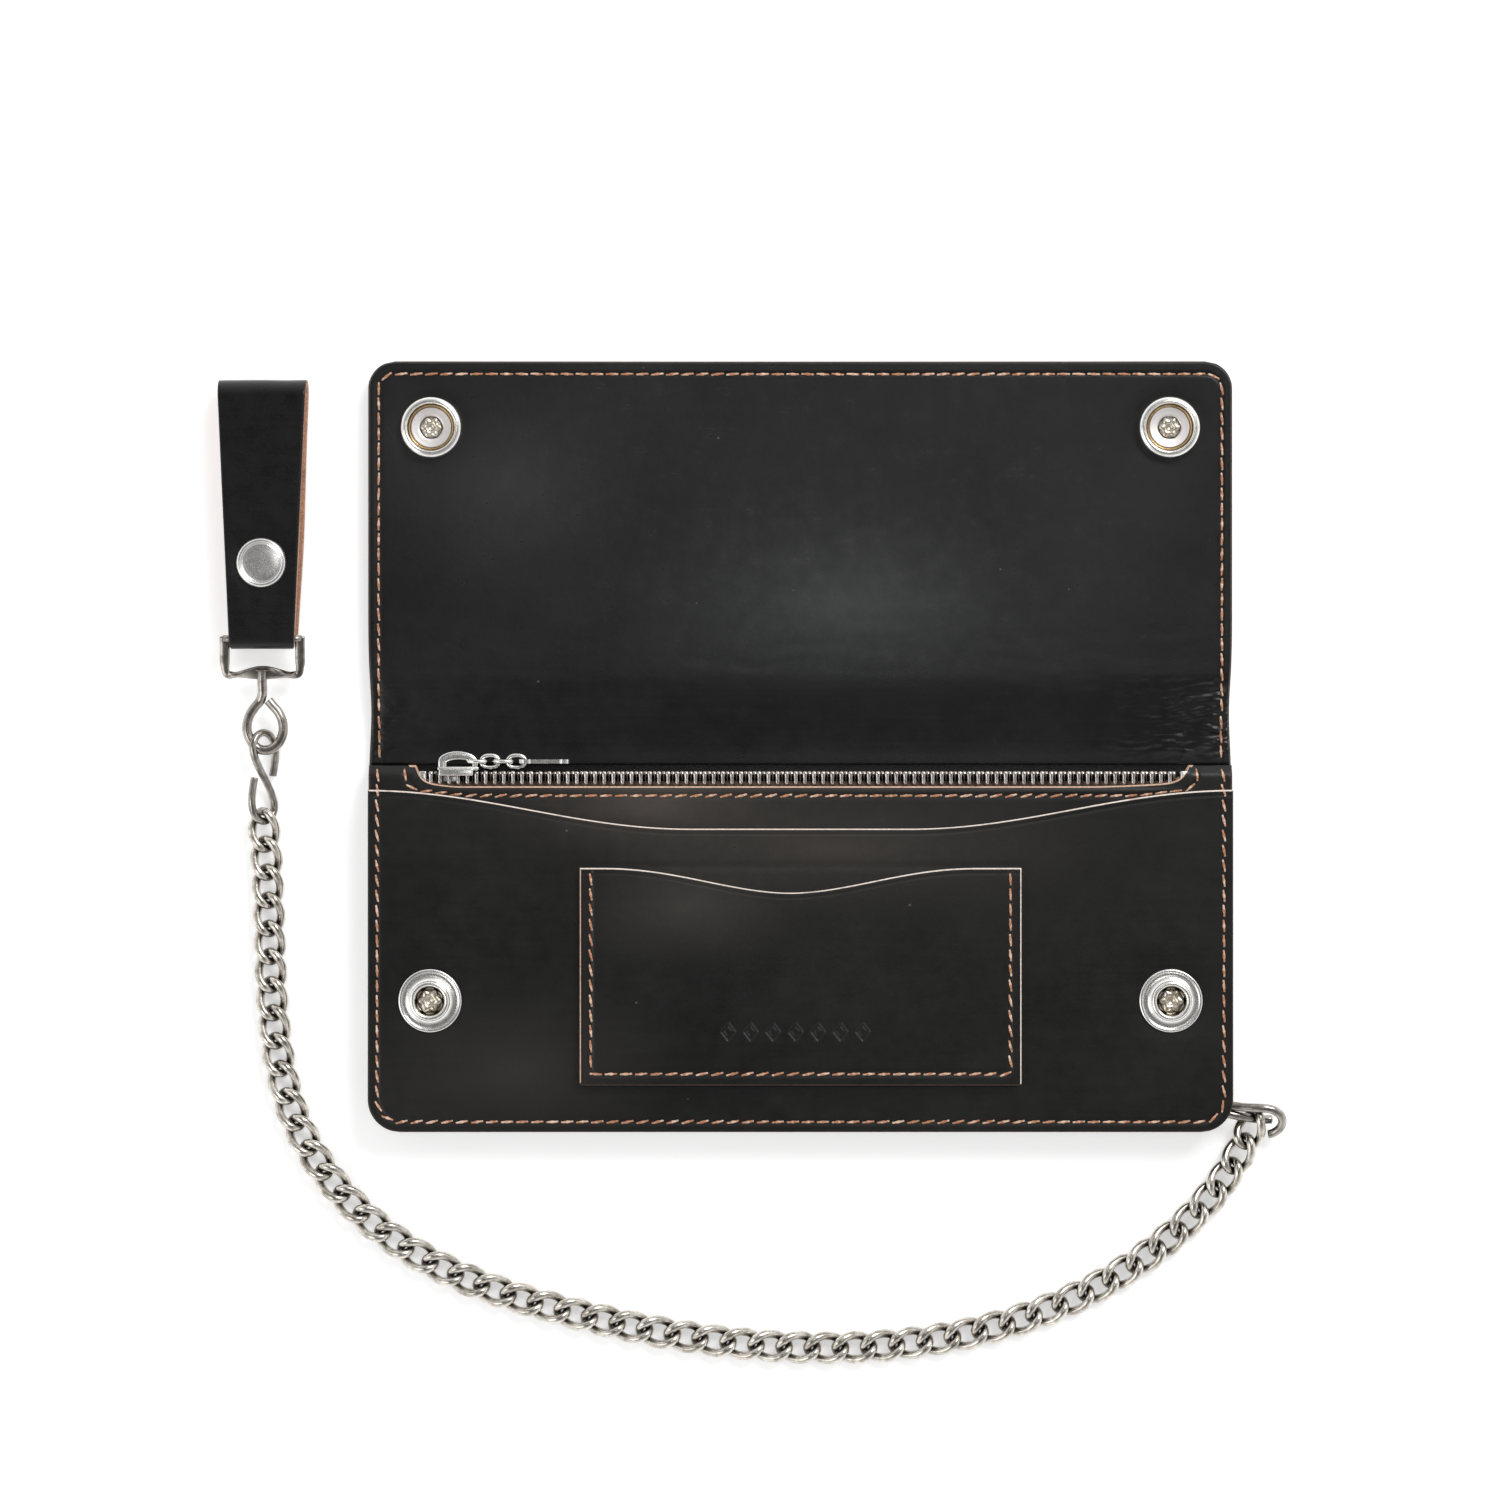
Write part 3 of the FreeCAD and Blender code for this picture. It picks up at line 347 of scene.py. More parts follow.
def tube_mesh(path, radius, sides, section=None):
    """Round wire along a path. section(share) may give a flattened outline as (across, up) points instead."""
    path = np.asarray(path, float)
    count = len(path)
    heading = np.gradient(path, axis=0)
    heading /= np.linalg.norm(heading, axis=1)[:, None]
    side = np.cross(np.array([0.0, 0, 1]), heading[0])
    side /= np.linalg.norm(side)
    angles = np.linspace(0, 2 * math.pi, sides, endpoint=False)
    rings = []
    for number in range(count):
        side = side - heading[number] * np.dot(side, heading[number])
        side /= np.linalg.norm(side)
        upward = np.cross(heading[number], side)
        if section is not None:
            outline = section(number / (count - 1))
        else:
            size = radius[number] if np.ndim(radius) else radius
            outline = np.stack([np.cos(angles) * size, np.sin(angles) * size], axis=1)
        rings.append(path[number] + outline[:, :1] * side + outline[:, 1:] * upward)
    sides = len(rings[0])
    return np.concatenate(rings), grid_faces(count, sides, wrap=True) + end_caps(count, sides)


def lathe_mesh(profile, centre, segments=96, lobes=0, depth=0.0, flip=False):
    """A turned shape: (radius, height) points about an upright axis. lobes cut petals into its rim."""
    profile = np.asarray(profile, float)
    angles = np.linspace(0, 2 * math.pi, segments, endpoint=False)
    swell = 1 + depth * np.cos(lobes * angles) if lobes else np.ones(segments)
    rings = []
    for radius, height in profile:
        reach = radius * swell
        level = np.full(segments, -height if flip else height)
        rings.append(np.stack([reach * np.cos(angles), reach * np.sin(angles), level], axis=1))
    points = np.concatenate(rings) + np.asarray(centre, float)
    return points, grid_faces(len(profile), segments, wrap=True, flip=flip)


def curve_through(points, count):
    """Points along a smooth curve through the given ones (Catmull-Rom)."""
    points = np.asarray(points, float)
    padded = np.concatenate([[2 * points[0] - points[1]], points, [2 * points[-1] - points[-2]]])
    result = []
    spans = len(points) - 1
    for step in range(count):
        place = step / (count - 1) * spans
        number = min(int(place), spans - 1)
        share = place - number
        before, start, end, after = padded[number : number + 4]
        result.append(
            0.5
            * (
                2 * start
                + (end - before) * share
                + (2 * before - 5 * start + 4 * end - after) * share**2
                + (3 * start - before - 3 * end + after) * share**3
            )
        )
    return np.array(result)


# ---------------------------------------------------------------- materials


class Nodes:
    """Short names for building one material's node tree."""

    def __init__(self, name):
        self.material = bpy.data.materials.new(name)
        self.material.use_nodes = True
        self.tree = self.material.node_tree
        self.shader = self.tree.nodes["Principled BSDF"]

    def add(self, kind, inputs=None, **settings):
        """Add a node. inputs maps a socket's name or number to a value or to another node's output."""
        item = self.tree.nodes.new(kind)
        for key, value in settings.items():
            setattr(item, key, value)
        for key, value in (inputs or {}).items():
            self.put(item.inputs[key], value)
        return item

    def put(self, socket, value):
        if isinstance(value, bpy.types.NodeSocket):
            self.tree.links.new(value, socket)
        else:
            socket.default_value = value

    def scaled(self, place, stretch):
        """A place in metres as millimetres, times a stretch."""
        factor = tuple(1000.0 * share for share in stretch)
        return self.add("ShaderNodeVectorMath", {0: place, 1: factor}, operation="MULTIPLY").outputs[0]

    def rest(self, stretch=(1, 1, 1)):
        """The place at rest, for noise that stays put on the moving pieces."""
        place = self.add("ShaderNodeAttribute", attribute_name="rest_place")
        return self.scaled(place.outputs["Vector"], stretch)

    def place(self):
        """The object's own place, for CAD nodes that keep no rest places."""
        return self.scaled(self.add("ShaderNodeTexCoord").outputs["Object"], (1, 1, 1))

    def noise(self, where, scale, detail=4.0, rough=0.55):
        return self.add(
            "ShaderNodeTexNoise", {"Vector": where, "Scale": scale, "Detail": detail, "Roughness": rough}
        ).outputs["Fac"]

    def ramp(self, value, low, high, out_low=0.0, out_high=1.0):
        """Map a value between low and high to between out_low and out_high."""
        limits = {"From Min": low, "From Max": high, "To Min": out_low, "To Max": out_high}
        return self.add("ShaderNodeMapRange", {"Value": value, **limits}).outputs["Result"]

    def mix(self, share, first, second):
        item = self.add("ShaderNodeMix", data_type="RGBA")
        self.put(item.inputs["Factor"], share)
        self.put(item.inputs[6], first)
        self.put(item.inputs[7], second)
        return item.outputs[2]

    def maths(self, operation, first, second=0.0):
        return self.add("ShaderNodeMath", {0: first, 1: second}, operation=operation).outputs[0]

    def bump(self, height, distance, strength=1.0, normal=None):
        inputs = {"Height": height, "Distance": distance, "Strength": strength}
        if normal is not None:
            inputs["Normal"] = normal
        return self.add("ShaderNodeBump", inputs).outputs["Normal"]

    def finish(self, colour, roughness, metallic=0.0, normal=None, **extra):
        self.put(self.shader.inputs["Base Color"], colour)
        self.put(self.shader.inputs["Roughness"], roughness)
        self.put(self.shader.inputs["Metallic"], metallic)
        if normal is not None:
            self.put(self.shader.inputs["Normal"], normal)
        for key, value in extra.items():
            self.put(self.shader.inputs[key.replace("_", " ")], value)
        return self.material


def leather_material(name, dark, light, sheen, painted_sheen=()):
    """Smooth pull-up leather: fine pores, cloudy wear and a few specks, with painted sheen: paler pools of
    reflected light mixed in at the listed places.
    """
    nodes = Nodes(name)
    where = nodes.rest()
    cloud = nodes.noise(where, 0.03, 5.0, 0.6)
    fine_cloud = nodes.noise(where, 0.22, 6.0, 0.65)
    pores = nodes.noise(where, 2.6, 3.0, 0.6)
    streaks = nodes.noise(nodes.rest(stretch=(0.03, 1.6, 1)), 0.9, 4.0, 0.7)
    turned = nodes.add(
        "ShaderNodeVectorRotate", {"Vector": where, "Angle": 0.9}, rotation_type="Z_AXIS"
    ).outputs[0]
    drawn = nodes.add("ShaderNodeVectorMath", {0: turned, 1: (0.09, 1.3, 1)}, operation="MULTIPLY").outputs[0]
    scratches = nodes.ramp(nodes.noise(drawn, 0.9, 3.0, 0.6), 0.71, 0.76)
    cell = nodes.add("ShaderNodeTexVoronoi", {"Vector": where, "Scale": 0.085}, feature="F1")
    specks = nodes.ramp(cell.outputs["Distance"], 0.026, 0.014)
    wear = nodes.maths("MULTIPLY", scratches, nodes.ramp(cloud, 0.5, 0.68))
    marks = nodes.maths("MAXIMUM", nodes.maths("MULTIPLY", wear, 0.16), nodes.maths("MULTIPLY", specks, 0.7))
    colour = nodes.mix(nodes.ramp(cloud, 0.36, 0.68), dark, light)
    # painted sheen: each entry mixes a paler pool of reflected light into the colour round its place
    for place, reach, tint in painted_sheen:
        away = nodes.add("ShaderNodeVectorMath", {0: where, 1: place}, operation="SUBTRACT").outputs[0]
        scaled = nodes.add(
            "ShaderNodeVectorMath", {0: away, 1: (1 / reach[0], 1 / reach[1], 0)}, operation="MULTIPLY"
        ).outputs[0]
        length = nodes.add("ShaderNodeVectorMath", {0: scaled}, operation="LENGTH").outputs["Value"]
        ragged = nodes.maths("ADD", length, nodes.ramp(fine_cloud, 0.2, 0.8, -0.2, 0.2))
        share = nodes.maths("POWER", nodes.ramp(ragged, 1.25, 0.0, 0.0, 1.0), 1.7)
        colour = nodes.mix(share, colour, tint)
    colour = nodes.mix(nodes.maths("MULTIPLY", marks, 0.6), colour, (0.20, 0.19, 0.18, 1))
    shine = nodes.ramp(fine_cloud, 0.3, 0.7, sheen - 0.06, sheen + 0.06)
    shine = nodes.maths("ADD", shine, nodes.ramp(streaks, 0.4, 0.7, 0.0, 0.05))
    normal = nodes.bump(pores, 0.00003, 0.5)
    normal = nodes.bump(fine_cloud, 0.00022, 0.25, normal)
    normal = nodes.bump(marks, 0.00005, 0.6, normal)
    return nodes.finish(colour, shine, 0.0, normal, Specular_IOR_Level=0.36)


def raw_edge_material(name, base, pale):
    """Cut edge or flesh side of the leather: fibrous and matt."""
    nodes = Nodes(name)
    where = nodes.rest(stretch=(1, 1, 2.5))
    fibre = nodes.noise(where, 2.0, 6.0, 0.7)
    patch = nodes.noise(nodes.rest(), 0.25, 3.0, 0.6)
    colour = nodes.mix(nodes.ramp(fibre, 0.3, 0.7), base, pale)
    colour = nodes.mix(nodes.ramp(patch, 0.55, 0.75, 0.0, 0.5), colour, (0.10, 0.05, 0.03, 1))
    normal = nodes.bump(fibre, 0.00012, 0.7)
    return nodes.finish(colour, 0.85, 0.0, normal)


def thread_material():
    """Waxed two-ply thread with painted pale highlights in patches."""
    nodes = Nodes("stitching")
    where = nodes.rest()
    fibre = nodes.noise(nodes.rest(stretch=(2, 2, 4)), 3.5, 4.0, 0.7)
    patch = nodes.noise(where, 0.8, 3.0, 0.6)
    colour = nodes.mix(nodes.ramp(fibre, 0.35, 0.65), (0.22, 0.065, 0.026, 1), (0.66, 0.30, 0.145, 1))
    # painted highlight: pale patches mixed into the thread's colour
    colour = nodes.mix(nodes.ramp(patch, 0.46, 0.62, 0.0, 0.75), colour, (0.92, 0.70, 0.55, 1))
    return nodes.finish(colour, 0.42, 0.0, nodes.bump(fibre, 0.00008, 0.8), Sheen_Weight=0.2)


def tape_material():
    """Dark brown herringbone tape."""
    nodes = Nodes("zip_tape")
    where = nodes.rest()
    wave = nodes.add(
        "ShaderNodeTexWave", {"Vector": where, "Scale": 0.32, "Distortion": 0.6}, bands_direction="DIAGONAL"
    ).outputs["Fac"]
    fibre = nodes.noise(where, 3.0, 3.0, 0.6)
    colour = nodes.mix(wave, (0.018, 0.010, 0.007, 1), (0.075, 0.045, 0.032, 1))
    return nodes.finish(colour, 0.9, 0.0, nodes.bump(nodes.maths("ADD", wave, fibre), 0.00012, 0.7))


def metal_material(name, colour, tarnish, roughness, rest=True, recess_shade_and_oxide=0.0):
    """Plated metal with fine wear, and painted shade in the hollows that ambient occlusion finds, which on
    the antique nickel also stands for its dark oxide.
    """
    nodes = Nodes(name)
    where = nodes.rest() if rest else nodes.place()
    patch = nodes.noise(where, 0.45, 5.0, 0.6)
    fine = nodes.noise(where, 3.2, 4.0, 0.65)
    shade = nodes.mix(nodes.ramp(patch, 0.4, 0.7), colour, tarnish)
    if recess_shade_and_oxide > 0:
        # painted shade, darker towards the hollows that ambient occlusion finds; on the antique nickel also
        # its dark oxide
        hidden = nodes.add("ShaderNodeAmbientOcclusion", {"Distance": 0.0022}, samples=8).outputs["AO"]
        shade = nodes.mix(nodes.ramp(hidden, 0.25, 0.95, recess_shade_and_oxide, 0.0), shade, (0.030, 0.025, 0.021, 1))
    shine = nodes.ramp(fine, 0.3, 0.75, roughness, roughness + 0.14)
    return nodes.finish(shade, shine, 1.0, nodes.bump(fine, 0.000012, 0.3))


def floor_material():
    nodes = Nodes("studio_floor")
    white = (0.93, 0.93, 0.93, 1)
    return nodes.finish(
        white, 0.9, 0.0, None, Specular_IOR_Level=0.1, Emission_Color=white, Emission_Strength=0.42
    )


# painted sheen on the lining: place, reach and colour of each paler pool of reflected light
FLAP_PAINTED_SHEEN = (
    ((10, 24, 0), (46, 22), (0.036, 0.037, 0.038, 1)),
    ((-64, 50, 0), (30, 24), (0.024, 0.024, 0.025, 1)),
    ((62, 32, 0), (24, 30), (0.011, 0.0112, 0.0118, 1)),
)
# painted sheen and highlights on the zip pocket, panel and card pocket: place, reach and colour of each paler
# pool
BODY_PAINTED_SHEEN = (
    ((-32, -20, 0), (34, 11), (0.060, 0.051, 0.044, 1)),
    ((6, -29, 0), (60, 14), (0.036, 0.031, 0.027, 1)),
    ((-24, -42, 0), (26, 13), (0.036, 0.033, 0.029, 1)),
    ((-62, -78, 0), (36, 18), (0.024, 0.022, 0.020, 1)),
)
BLACK = leather_material("black_leather", (0.0030, 0.0029, 0.0029, 1), (0.0066, 0.0064, 0.0064, 1), 0.27)
FLAP_BLACK = leather_material(
    "lining_leather", (0.0036, 0.0035, 0.0035, 1), (0.0090, 0.0089, 0.0090, 1), 0.31, FLAP_PAINTED_SHEEN
)
PANEL_BLACK = leather_material(
    "panel_leather", (0.0040, 0.0038, 0.0035, 1), (0.0098, 0.0094, 0.0088, 1), 0.33, BODY_PAINTED_SHEEN
)
RAW = raw_edge_material("raw_edge", (0.46, 0.24, 0.15, 1), (0.80, 0.60, 0.46, 1))
DYED_EDGE = raw_edge_material("dyed_edge", (0.012, 0.008, 0.006, 1), (0.075, 0.042, 0.028, 1))
PALE_RAW = raw_edge_material("pale_raw_edge", (0.66, 0.50, 0.40, 1), (0.95, 0.90, 0.85, 1))
FLESH = raw_edge_material("flesh_side", (0.20, 0.07, 0.035, 1), (0.72, 0.42, 0.28, 1))
THREAD = thread_material()
TAPE = tape_material()
NICKEL = metal_material("nickel", (0.95, 0.94, 0.91, 1), (0.80, 0.78, 0.74, 1), 0.17)
PEARL = metal_material("snap_floor", (0.97, 0.94, 0.92, 1), (0.90, 0.85, 0.82, 1), 0.40, recess_shade_and_oxide=0.55)
SATIN = metal_material("satin_nickel", (0.86, 0.85, 0.83, 1), (0.70, 0.68, 0.65, 1), 0.20)
BRASS = metal_material("snap_brass", (0.66, 0.47, 0.24, 1), (0.42, 0.27, 0.12, 1), 0.22, recess_shade_and_oxide=0.5)
BRASS_TINT = metal_material("brass_tint", (0.80, 0.74, 0.64, 1), (0.58, 0.49, 0.36, 1), 0.22, recess_shade_and_oxide=0.9)
ZIP_METAL = metal_material("zip_metal", (0.66, 0.62, 0.59, 1), (0.34, 0.28, 0.25, 1), 0.20, recess_shade_and_oxide=0.95)
ANTIQUE = metal_material("antique_nickel", (0.74, 0.70, 0.635, 1), (0.33, 0.295, 0.25, 1), 0.17, recess_shade_and_oxide=0.97)
SOFT_NICKEL = metal_material("soft_nickel", (0.44, 0.41, 0.375, 1), (0.20, 0.18, 0.16, 1), 0.14, recess_shade_and_oxide=0.95)
CLEAN_NICKEL = metal_material(
    "clean_nickel", (0.80, 0.79, 0.77, 1), (0.62, 0.60, 0.57, 1), 0.14, rest=False, recess_shade_and_oxide=0.5
)


# ---------------------------------------------------------------- where the stitching runs


def run_of(node, radius, reach_low=0.0, reach_high=0.0):
    """Outline of a line of stitching, read from its band in the frame: left, right, low, high, radius."""
    low, high = node_box(node)
    return (
        low[0] + THREAD_HALF,
        high[0] - THREAD_HALF,
        low[1] + THREAD_HALF - reach_low,
        high[1] - THREAD_HALF + reach_high,
        radius,
    )


FLAP_RUN = run_of("thread_flap", 3.6, reach_low=40.0)
BODY_RUN = run_of("thread_body", 5.1, reach_high=40.0)
ZIP_RUN = (-86.6, 86.9, -18.0, 18.0, 3.6)
CARD_RUN = run_of("thread_card_pocket", 1.2, reach_high=30.0)


def groove(across, along, run, depth=GROOVE_DEPTH):
    """The shallow channel that stitching pulls into the leather."""
    return -depth * np.exp(-((frame_distance(across, along, run) / GROOVE_WIDTH) ** 2))


def snap_dent(across, along, centre_y):
    """Leather drawn down round the two press studs."""
    away = np.hypot(np.abs(across) - SNAP_ACROSS, along - centre_y)
    return -DENT_DEPTH * np.exp(-np.maximum(away - DENT_RADIUS, 0) / DENT_REACH)


def clouds(across, along, seed, height):
    """Soft unevenness of a large piece of leather."""
    broad = field(across / 42 + 3, along / 30 + 5, seed)
    fine = field(across / 13 + 1, along / 10 + 2, seed + 1)
    return height * (broad + 0.3 * fine)


# ---------------------------------------------------------------- heights of the outer leather and lining


def fold_height(along):
    """Underside of the outer leather: on the table at the back, and lifted by the flap's press studs."""
    return FLAP_LIFT * smooth_step(along, -9.0, 9.0)


def droop(across, along):
    """Between its two press studs the flap's free edge sinks a little."""
    return -0.55 * smooth_step(along, 25, FLAP_HIGH[1]) * np.clip(1 - (across / 78) ** 2, 0, 1)


def fold_creases(across, along):
    """Fine creases along the fold, strongest near its two ends."""
    right = 0.25 * smooth_step(across, 60, 76) + 0.75 * smooth_step(across, 76, 92)
    edge = right + 0.3 * smooth_step(-across, 76, 92)
    band = smooth_step(along, -11, -6) * (1 - smooth_step(along, 2, 10))
    long_band = smooth_step(along, -12, 0) * (1 - smooth_step(along, 8, 30))
    wander = 1.6 * field(across / 9, along / 14, 41)
    coarse = field(across / 16 + 2, (along + wander) / 1.9, 21)
    tight = field(across / 2.0, (along + wander) / 0.72, 22)
    cross = field((across + along) / 2.0, (along - 0.4 * across) / 0.95, 23)
    sharp = np.abs(field(across / 2.8 + 8, (along + 1.4 * wander) / 0.9, 24)) ** 0.7
    tangle = 0.24 * tight + 0.16 * cross - 0.42 * sharp
    return 0.025 * long_band * coarse + band * edge * tangle


def shell_bottom(across, along):
    return fold_height(along) + droop(across, along)


def shell_top(across, along):
    return shell_bottom(across, along) + SKIN


def lining_bottom(across, along):
    return shell_top(across, along) + 0.02


def lining_top(across, along):
    height = shell_top(across, along) + LINING
    height = height + clouds(across, along, 7, 0.16) * smooth_step(along, -6, 6)
    height = height + fold_creases(across, along)
    height = height + groove(across, along, FLAP_RUN)
    return height + snap_dent(across, along, SNAP_ALONG)


def dark_edge(_, __):
    """Rim whose bevels keep the surface colour and whose cut face is raw."""
    return (0, 1, 0)


def raw_rim(_, __):
    return (1, 1, 1)


WAIST_DEPTH = 0.6
WAIST_PLACE = 1.0
WAIST_REACH = 9.0


def with_waist(outline):
    """An outline that draws in slightly beside the fold."""

    def drawn(across, along, inset):
        place_x, place_y = outline(across, along, inset)
        pull = WAIST_DEPTH * np.exp(-(((place_y - WAIST_PLACE) / WAIST_REACH) ** 2))
        return place_x * (1 - pull / HALF), place_y

    return drawn


def bend_lower(piece):
    """Bake the piece's transform into its mesh."""
    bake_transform(piece)


def bend_upper(piece):
    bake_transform(piece)


def two_sheets(names, shapes, across, rows, heights, bevel, looks, rim):
    """One leather that crosses the fold, made as a sheet below it and a sheet above that meet in the fold."""
    below = slab(names[0], with_waist(shapes[0]), across, rows[0], *heights, bevel, looks, rim, (False, True))
    above = slab(names[1], with_waist(shapes[1]), across, rows[1], *heights, bevel, looks, rim, (True, False))
    bend_lower(below)
    bend_upper(above)
    return below, above


def make_outer_leather():
    """The piece of leather that runs from the body's back round the fold to the flap."""
    low = SHELL_LOW[1]
    high = FLAP_HIGH[1]
    across = stations(-HALF, HALF, (-HALF, HALF), 0.5, 3.0)
    rows = (
        stations(low, 0, (low, -4), 0.5, 3.0, reach=8),
        stations(0, high, (4, high), 0.5, 3.0, reach=8),
    )
    shapes = (
        rounded_outline(-HALF, HALF, low, 0, BODY_CORNER, 0, open_high=True),
        rounded_outline(-HALF, HALF, 0, high, 0, FLAP_CORNER, open_low=True),
    )
    names = ("outer_leather_back", "outer_leather_flap")
    back, flap = two_sheets(
        names, shapes, across, rows, (shell_top, shell_bottom), SHELL_BEVEL, (BLACK, DYED_EDGE), raw_rim,
    )
    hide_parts("shell_back", "shell_spine")
    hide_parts("shell_flap")


def make_lining():
    """The lining that shows on the open flap and runs down into the fold, behind the zip."""
    side = HALF - LAYER_STEP
    high = FLAP_HIGH[1] - LAYER_STEP
    low = POCKET_HIGH[1] + 0.15
    marks = (-side, side, -SNAP_ACROSS, SNAP_ACROSS)
    across = stations(-side, side, marks, SNAP_STEP, SHEET_STEP, reach=SNAP_GRID_REACH)
    rows = (
        stations(low, 0, (-5,), 0.25, 0.25),
        stations(0, high, (8, high), 0.25, 0.8, reach=9),
    )
    shapes = (
        rounded_outline(-side, side, low, 0, 0, 0, open_high=True),
        rounded_outline(-side, side, 0, high, 0, FLAP_CORNER - LAYER_STEP, open_low=True),
    )
    names = ("lining_fold", "lining_flap")
    fold, flap = two_sheets(
        names, shapes, across, rows, (lining_top, lining_bottom), LINING_BEVEL, (FLAP_BLACK, DYED_EDGE),
        dark_edge,
    )
    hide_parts("spine_lining")
    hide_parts("flap_lining")


# ---------------------------------------------------------------- zip pocket, front panel and card pocket

SEAM = 4.5
POCKET_FACE = POCKET_HIGH[2]
PANEL_FACE = PANEL_HIGH[2]
CARD_FACE = CARD_HIGH[2]
POCKET_MIDDLE = (BACK_TEETH_LOW[2] + TEETH_HIGH[2]) / 2
WALL = 1.2
BACK_WALL_FACE = 3.8


def seam_share(across, along, low, half):
    """1 on the sewn rim of the body, 0 well inside it."""
    rim = np.minimum(half - np.abs(across), along - low)
    return 1 - smooth_step(rim, SEAM, SEAM + 7)


def window_rise(across):
    """How far the zip window's edge has turned up towards the body's top at each end."""
    from_left = np.maximum(across - WINDOW_LEFT, 0)
    from_right = np.maximum(WINDOW_RIGHT - across, 0)
    left = 0.12 * (1 - smooth_step(from_left, 2, 10)) + 0.88 * np.exp(-from_left / 1.25)
    right = 0.12 * (1 - smooth_step(from_right, 3, 22)) + 0.88 * np.exp(-from_right / 1.7)
    return np.maximum(left, right)


def window_edge(front):
    """Top edge of one wall of the zip pocket, level at the window and rising at both ends."""

    def edge(across):
        return front + (POCKET_HIGH[1] - front) * window_rise(across)

    return edge


def raised_top(edge, high, start):
    """A warp that moves the rows above start so that the top row follows the given edge."""

    def warp(across, along):
        share = np.clip((along - start) / (high - start), 0, 1)
        return along + (edge(across) - high) * share

    return warp


def row_lift(across, along):
    """The row of stitches under the zip curves up a little before it turns at each end."""
    from_end = np.minimum(across - ZIP_RUN[0], ZIP_RUN[1] - across)
    return 1.1 * (1 - smooth_step(from_end, 2, 15)) * (1 - smooth_step(along, -16.5, -13.5))


def pocket_front_top(across, along):
    height = POCKET_FACE + groove(across, along - row_lift(across, along), ZIP_RUN, 0.14)
    height = height + clouds(across, along, 31, 0.05)
    roll = window_rise(across) * smooth_step(along, POCKET_HIGH[1] - 3.2, POCKET_HIGH[1])
    lip = 0.30 * smooth_step(along, WINDOW_FRONT - 1.2, WINDOW_FRONT) * (1 - window_rise(across))
    return height - 1.3 * roll**2 - lip


def closed_share(across, along):
    """1 where the pocket's two walls meet: on the body's rim and at both ends of the zip."""
    seam = seam_share(across, along, POCKET_LOW[1], HALF)
    ends = window_rise(across) * smooth_step(along, -24, -15)
    return np.maximum(seam, ends)


def pocket_front_bottom(across, along):
    thick = WALL + (POCKET_FACE - WALL - POCKET_MIDDLE) * closed_share(across, along)
    return POCKET_FACE - thick


def pocket_back_top(across, along):
    return BACK_WALL_FACE + (POCKET_MIDDLE - 0.02 - BACK_WALL_FACE) * closed_share(across, along)


def pocket_back_bottom(across, along):
    seam = seam_share(across, along, POCKET_LOW[1], HALF)
    return 2.6 - 0.98 * seam


def make_zip_pocket():
    """The two walls of the zip pocket, closed round the body's rim and at both ends of the zip."""
    side = HALF - LAYER_STEP
    low = POCKET_LOW[1] + LAYER_STEP
    across = stations(-side, side, (-side, side, WINDOW_LEFT, WINDOW_RIGHT), 0.28, 1.6, reach=6)
    rows = stations(low, POCKET_HIGH[1], (low, POCKET_HIGH[1]), 0.35, 2.0, reach=10)
    for name, edge, top, bottom in (
        ("zip_pocket_front", window_edge(WINDOW_FRONT), pocket_front_top, pocket_front_bottom),
        ("zip_pocket_back", window_edge(WINDOW_BACK), pocket_back_top, pocket_back_bottom),
    ):
        warp = raised_top(edge, POCKET_HIGH[1], -40)
        shape = rounded_outline(-side, side, low, POCKET_HIGH[1], BODY_CORNER, 0, warp=warp)

        def rim(place, on_top):
            if on_top and WINDOW_LEFT - 1.5 < place[0] < WINDOW_RIGHT + 1.0:
                return (1, 1, 1)
            return (0, 0, 0) if on_top else (3, 3, 3)

        looks = (PANEL_BLACK, RAW, PANEL_BLACK, DYED_EDGE)
        piece = slab(name, shape, across, rows, top, bottom, POCKET_BEVEL, looks, rim)
        attach(piece, "wallet", "lining_leather")
        if name == "zip_pocket_front":
            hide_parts("zip_pocket")


PANEL_SIDE = PANEL_HIGH[1]
PANEL_DIP = 8.5


def panel_edge(across):
    share = np.clip((np.abs(across) / HALF - 0.25) / 0.75, 0, 1)
    return PANEL_SIDE - PANEL_DIP * 0.5 * (1 + np.cos(math.pi * share))


def edge_crease(along, edge, depth=CREASE_DEPTH):
    """The fine line that is pressed beside a pocket's edge."""
    return -depth * np.exp(-(((edge - along - CREASE_INSET) / CREASE_WIDTH) ** 2))


def panel_top(across, along):
    height = PANEL_FACE + clouds(across, along, 51, 0.10)
    height = height + groove(across, along, BODY_RUN)
    height = height + edge_crease(along, panel_edge(across))
    height = height + snap_dent(across, along, -SNAP_ALONG)
    near_card = frame_distance(across, along, (CARD_LOW[0], CARD_HIGH[0], CARD_LOW[1], CARD_HIGH[1], 1.0))
    return height - 0.10 * np.exp(-((near_card - 0.3) / 0.5) ** 2)


def panel_bottom(across, along):
    seam = seam_share(across, along, PANEL_LOW[1], HALF)
    return POCKET_FACE + 0.6 - 0.56 * seam


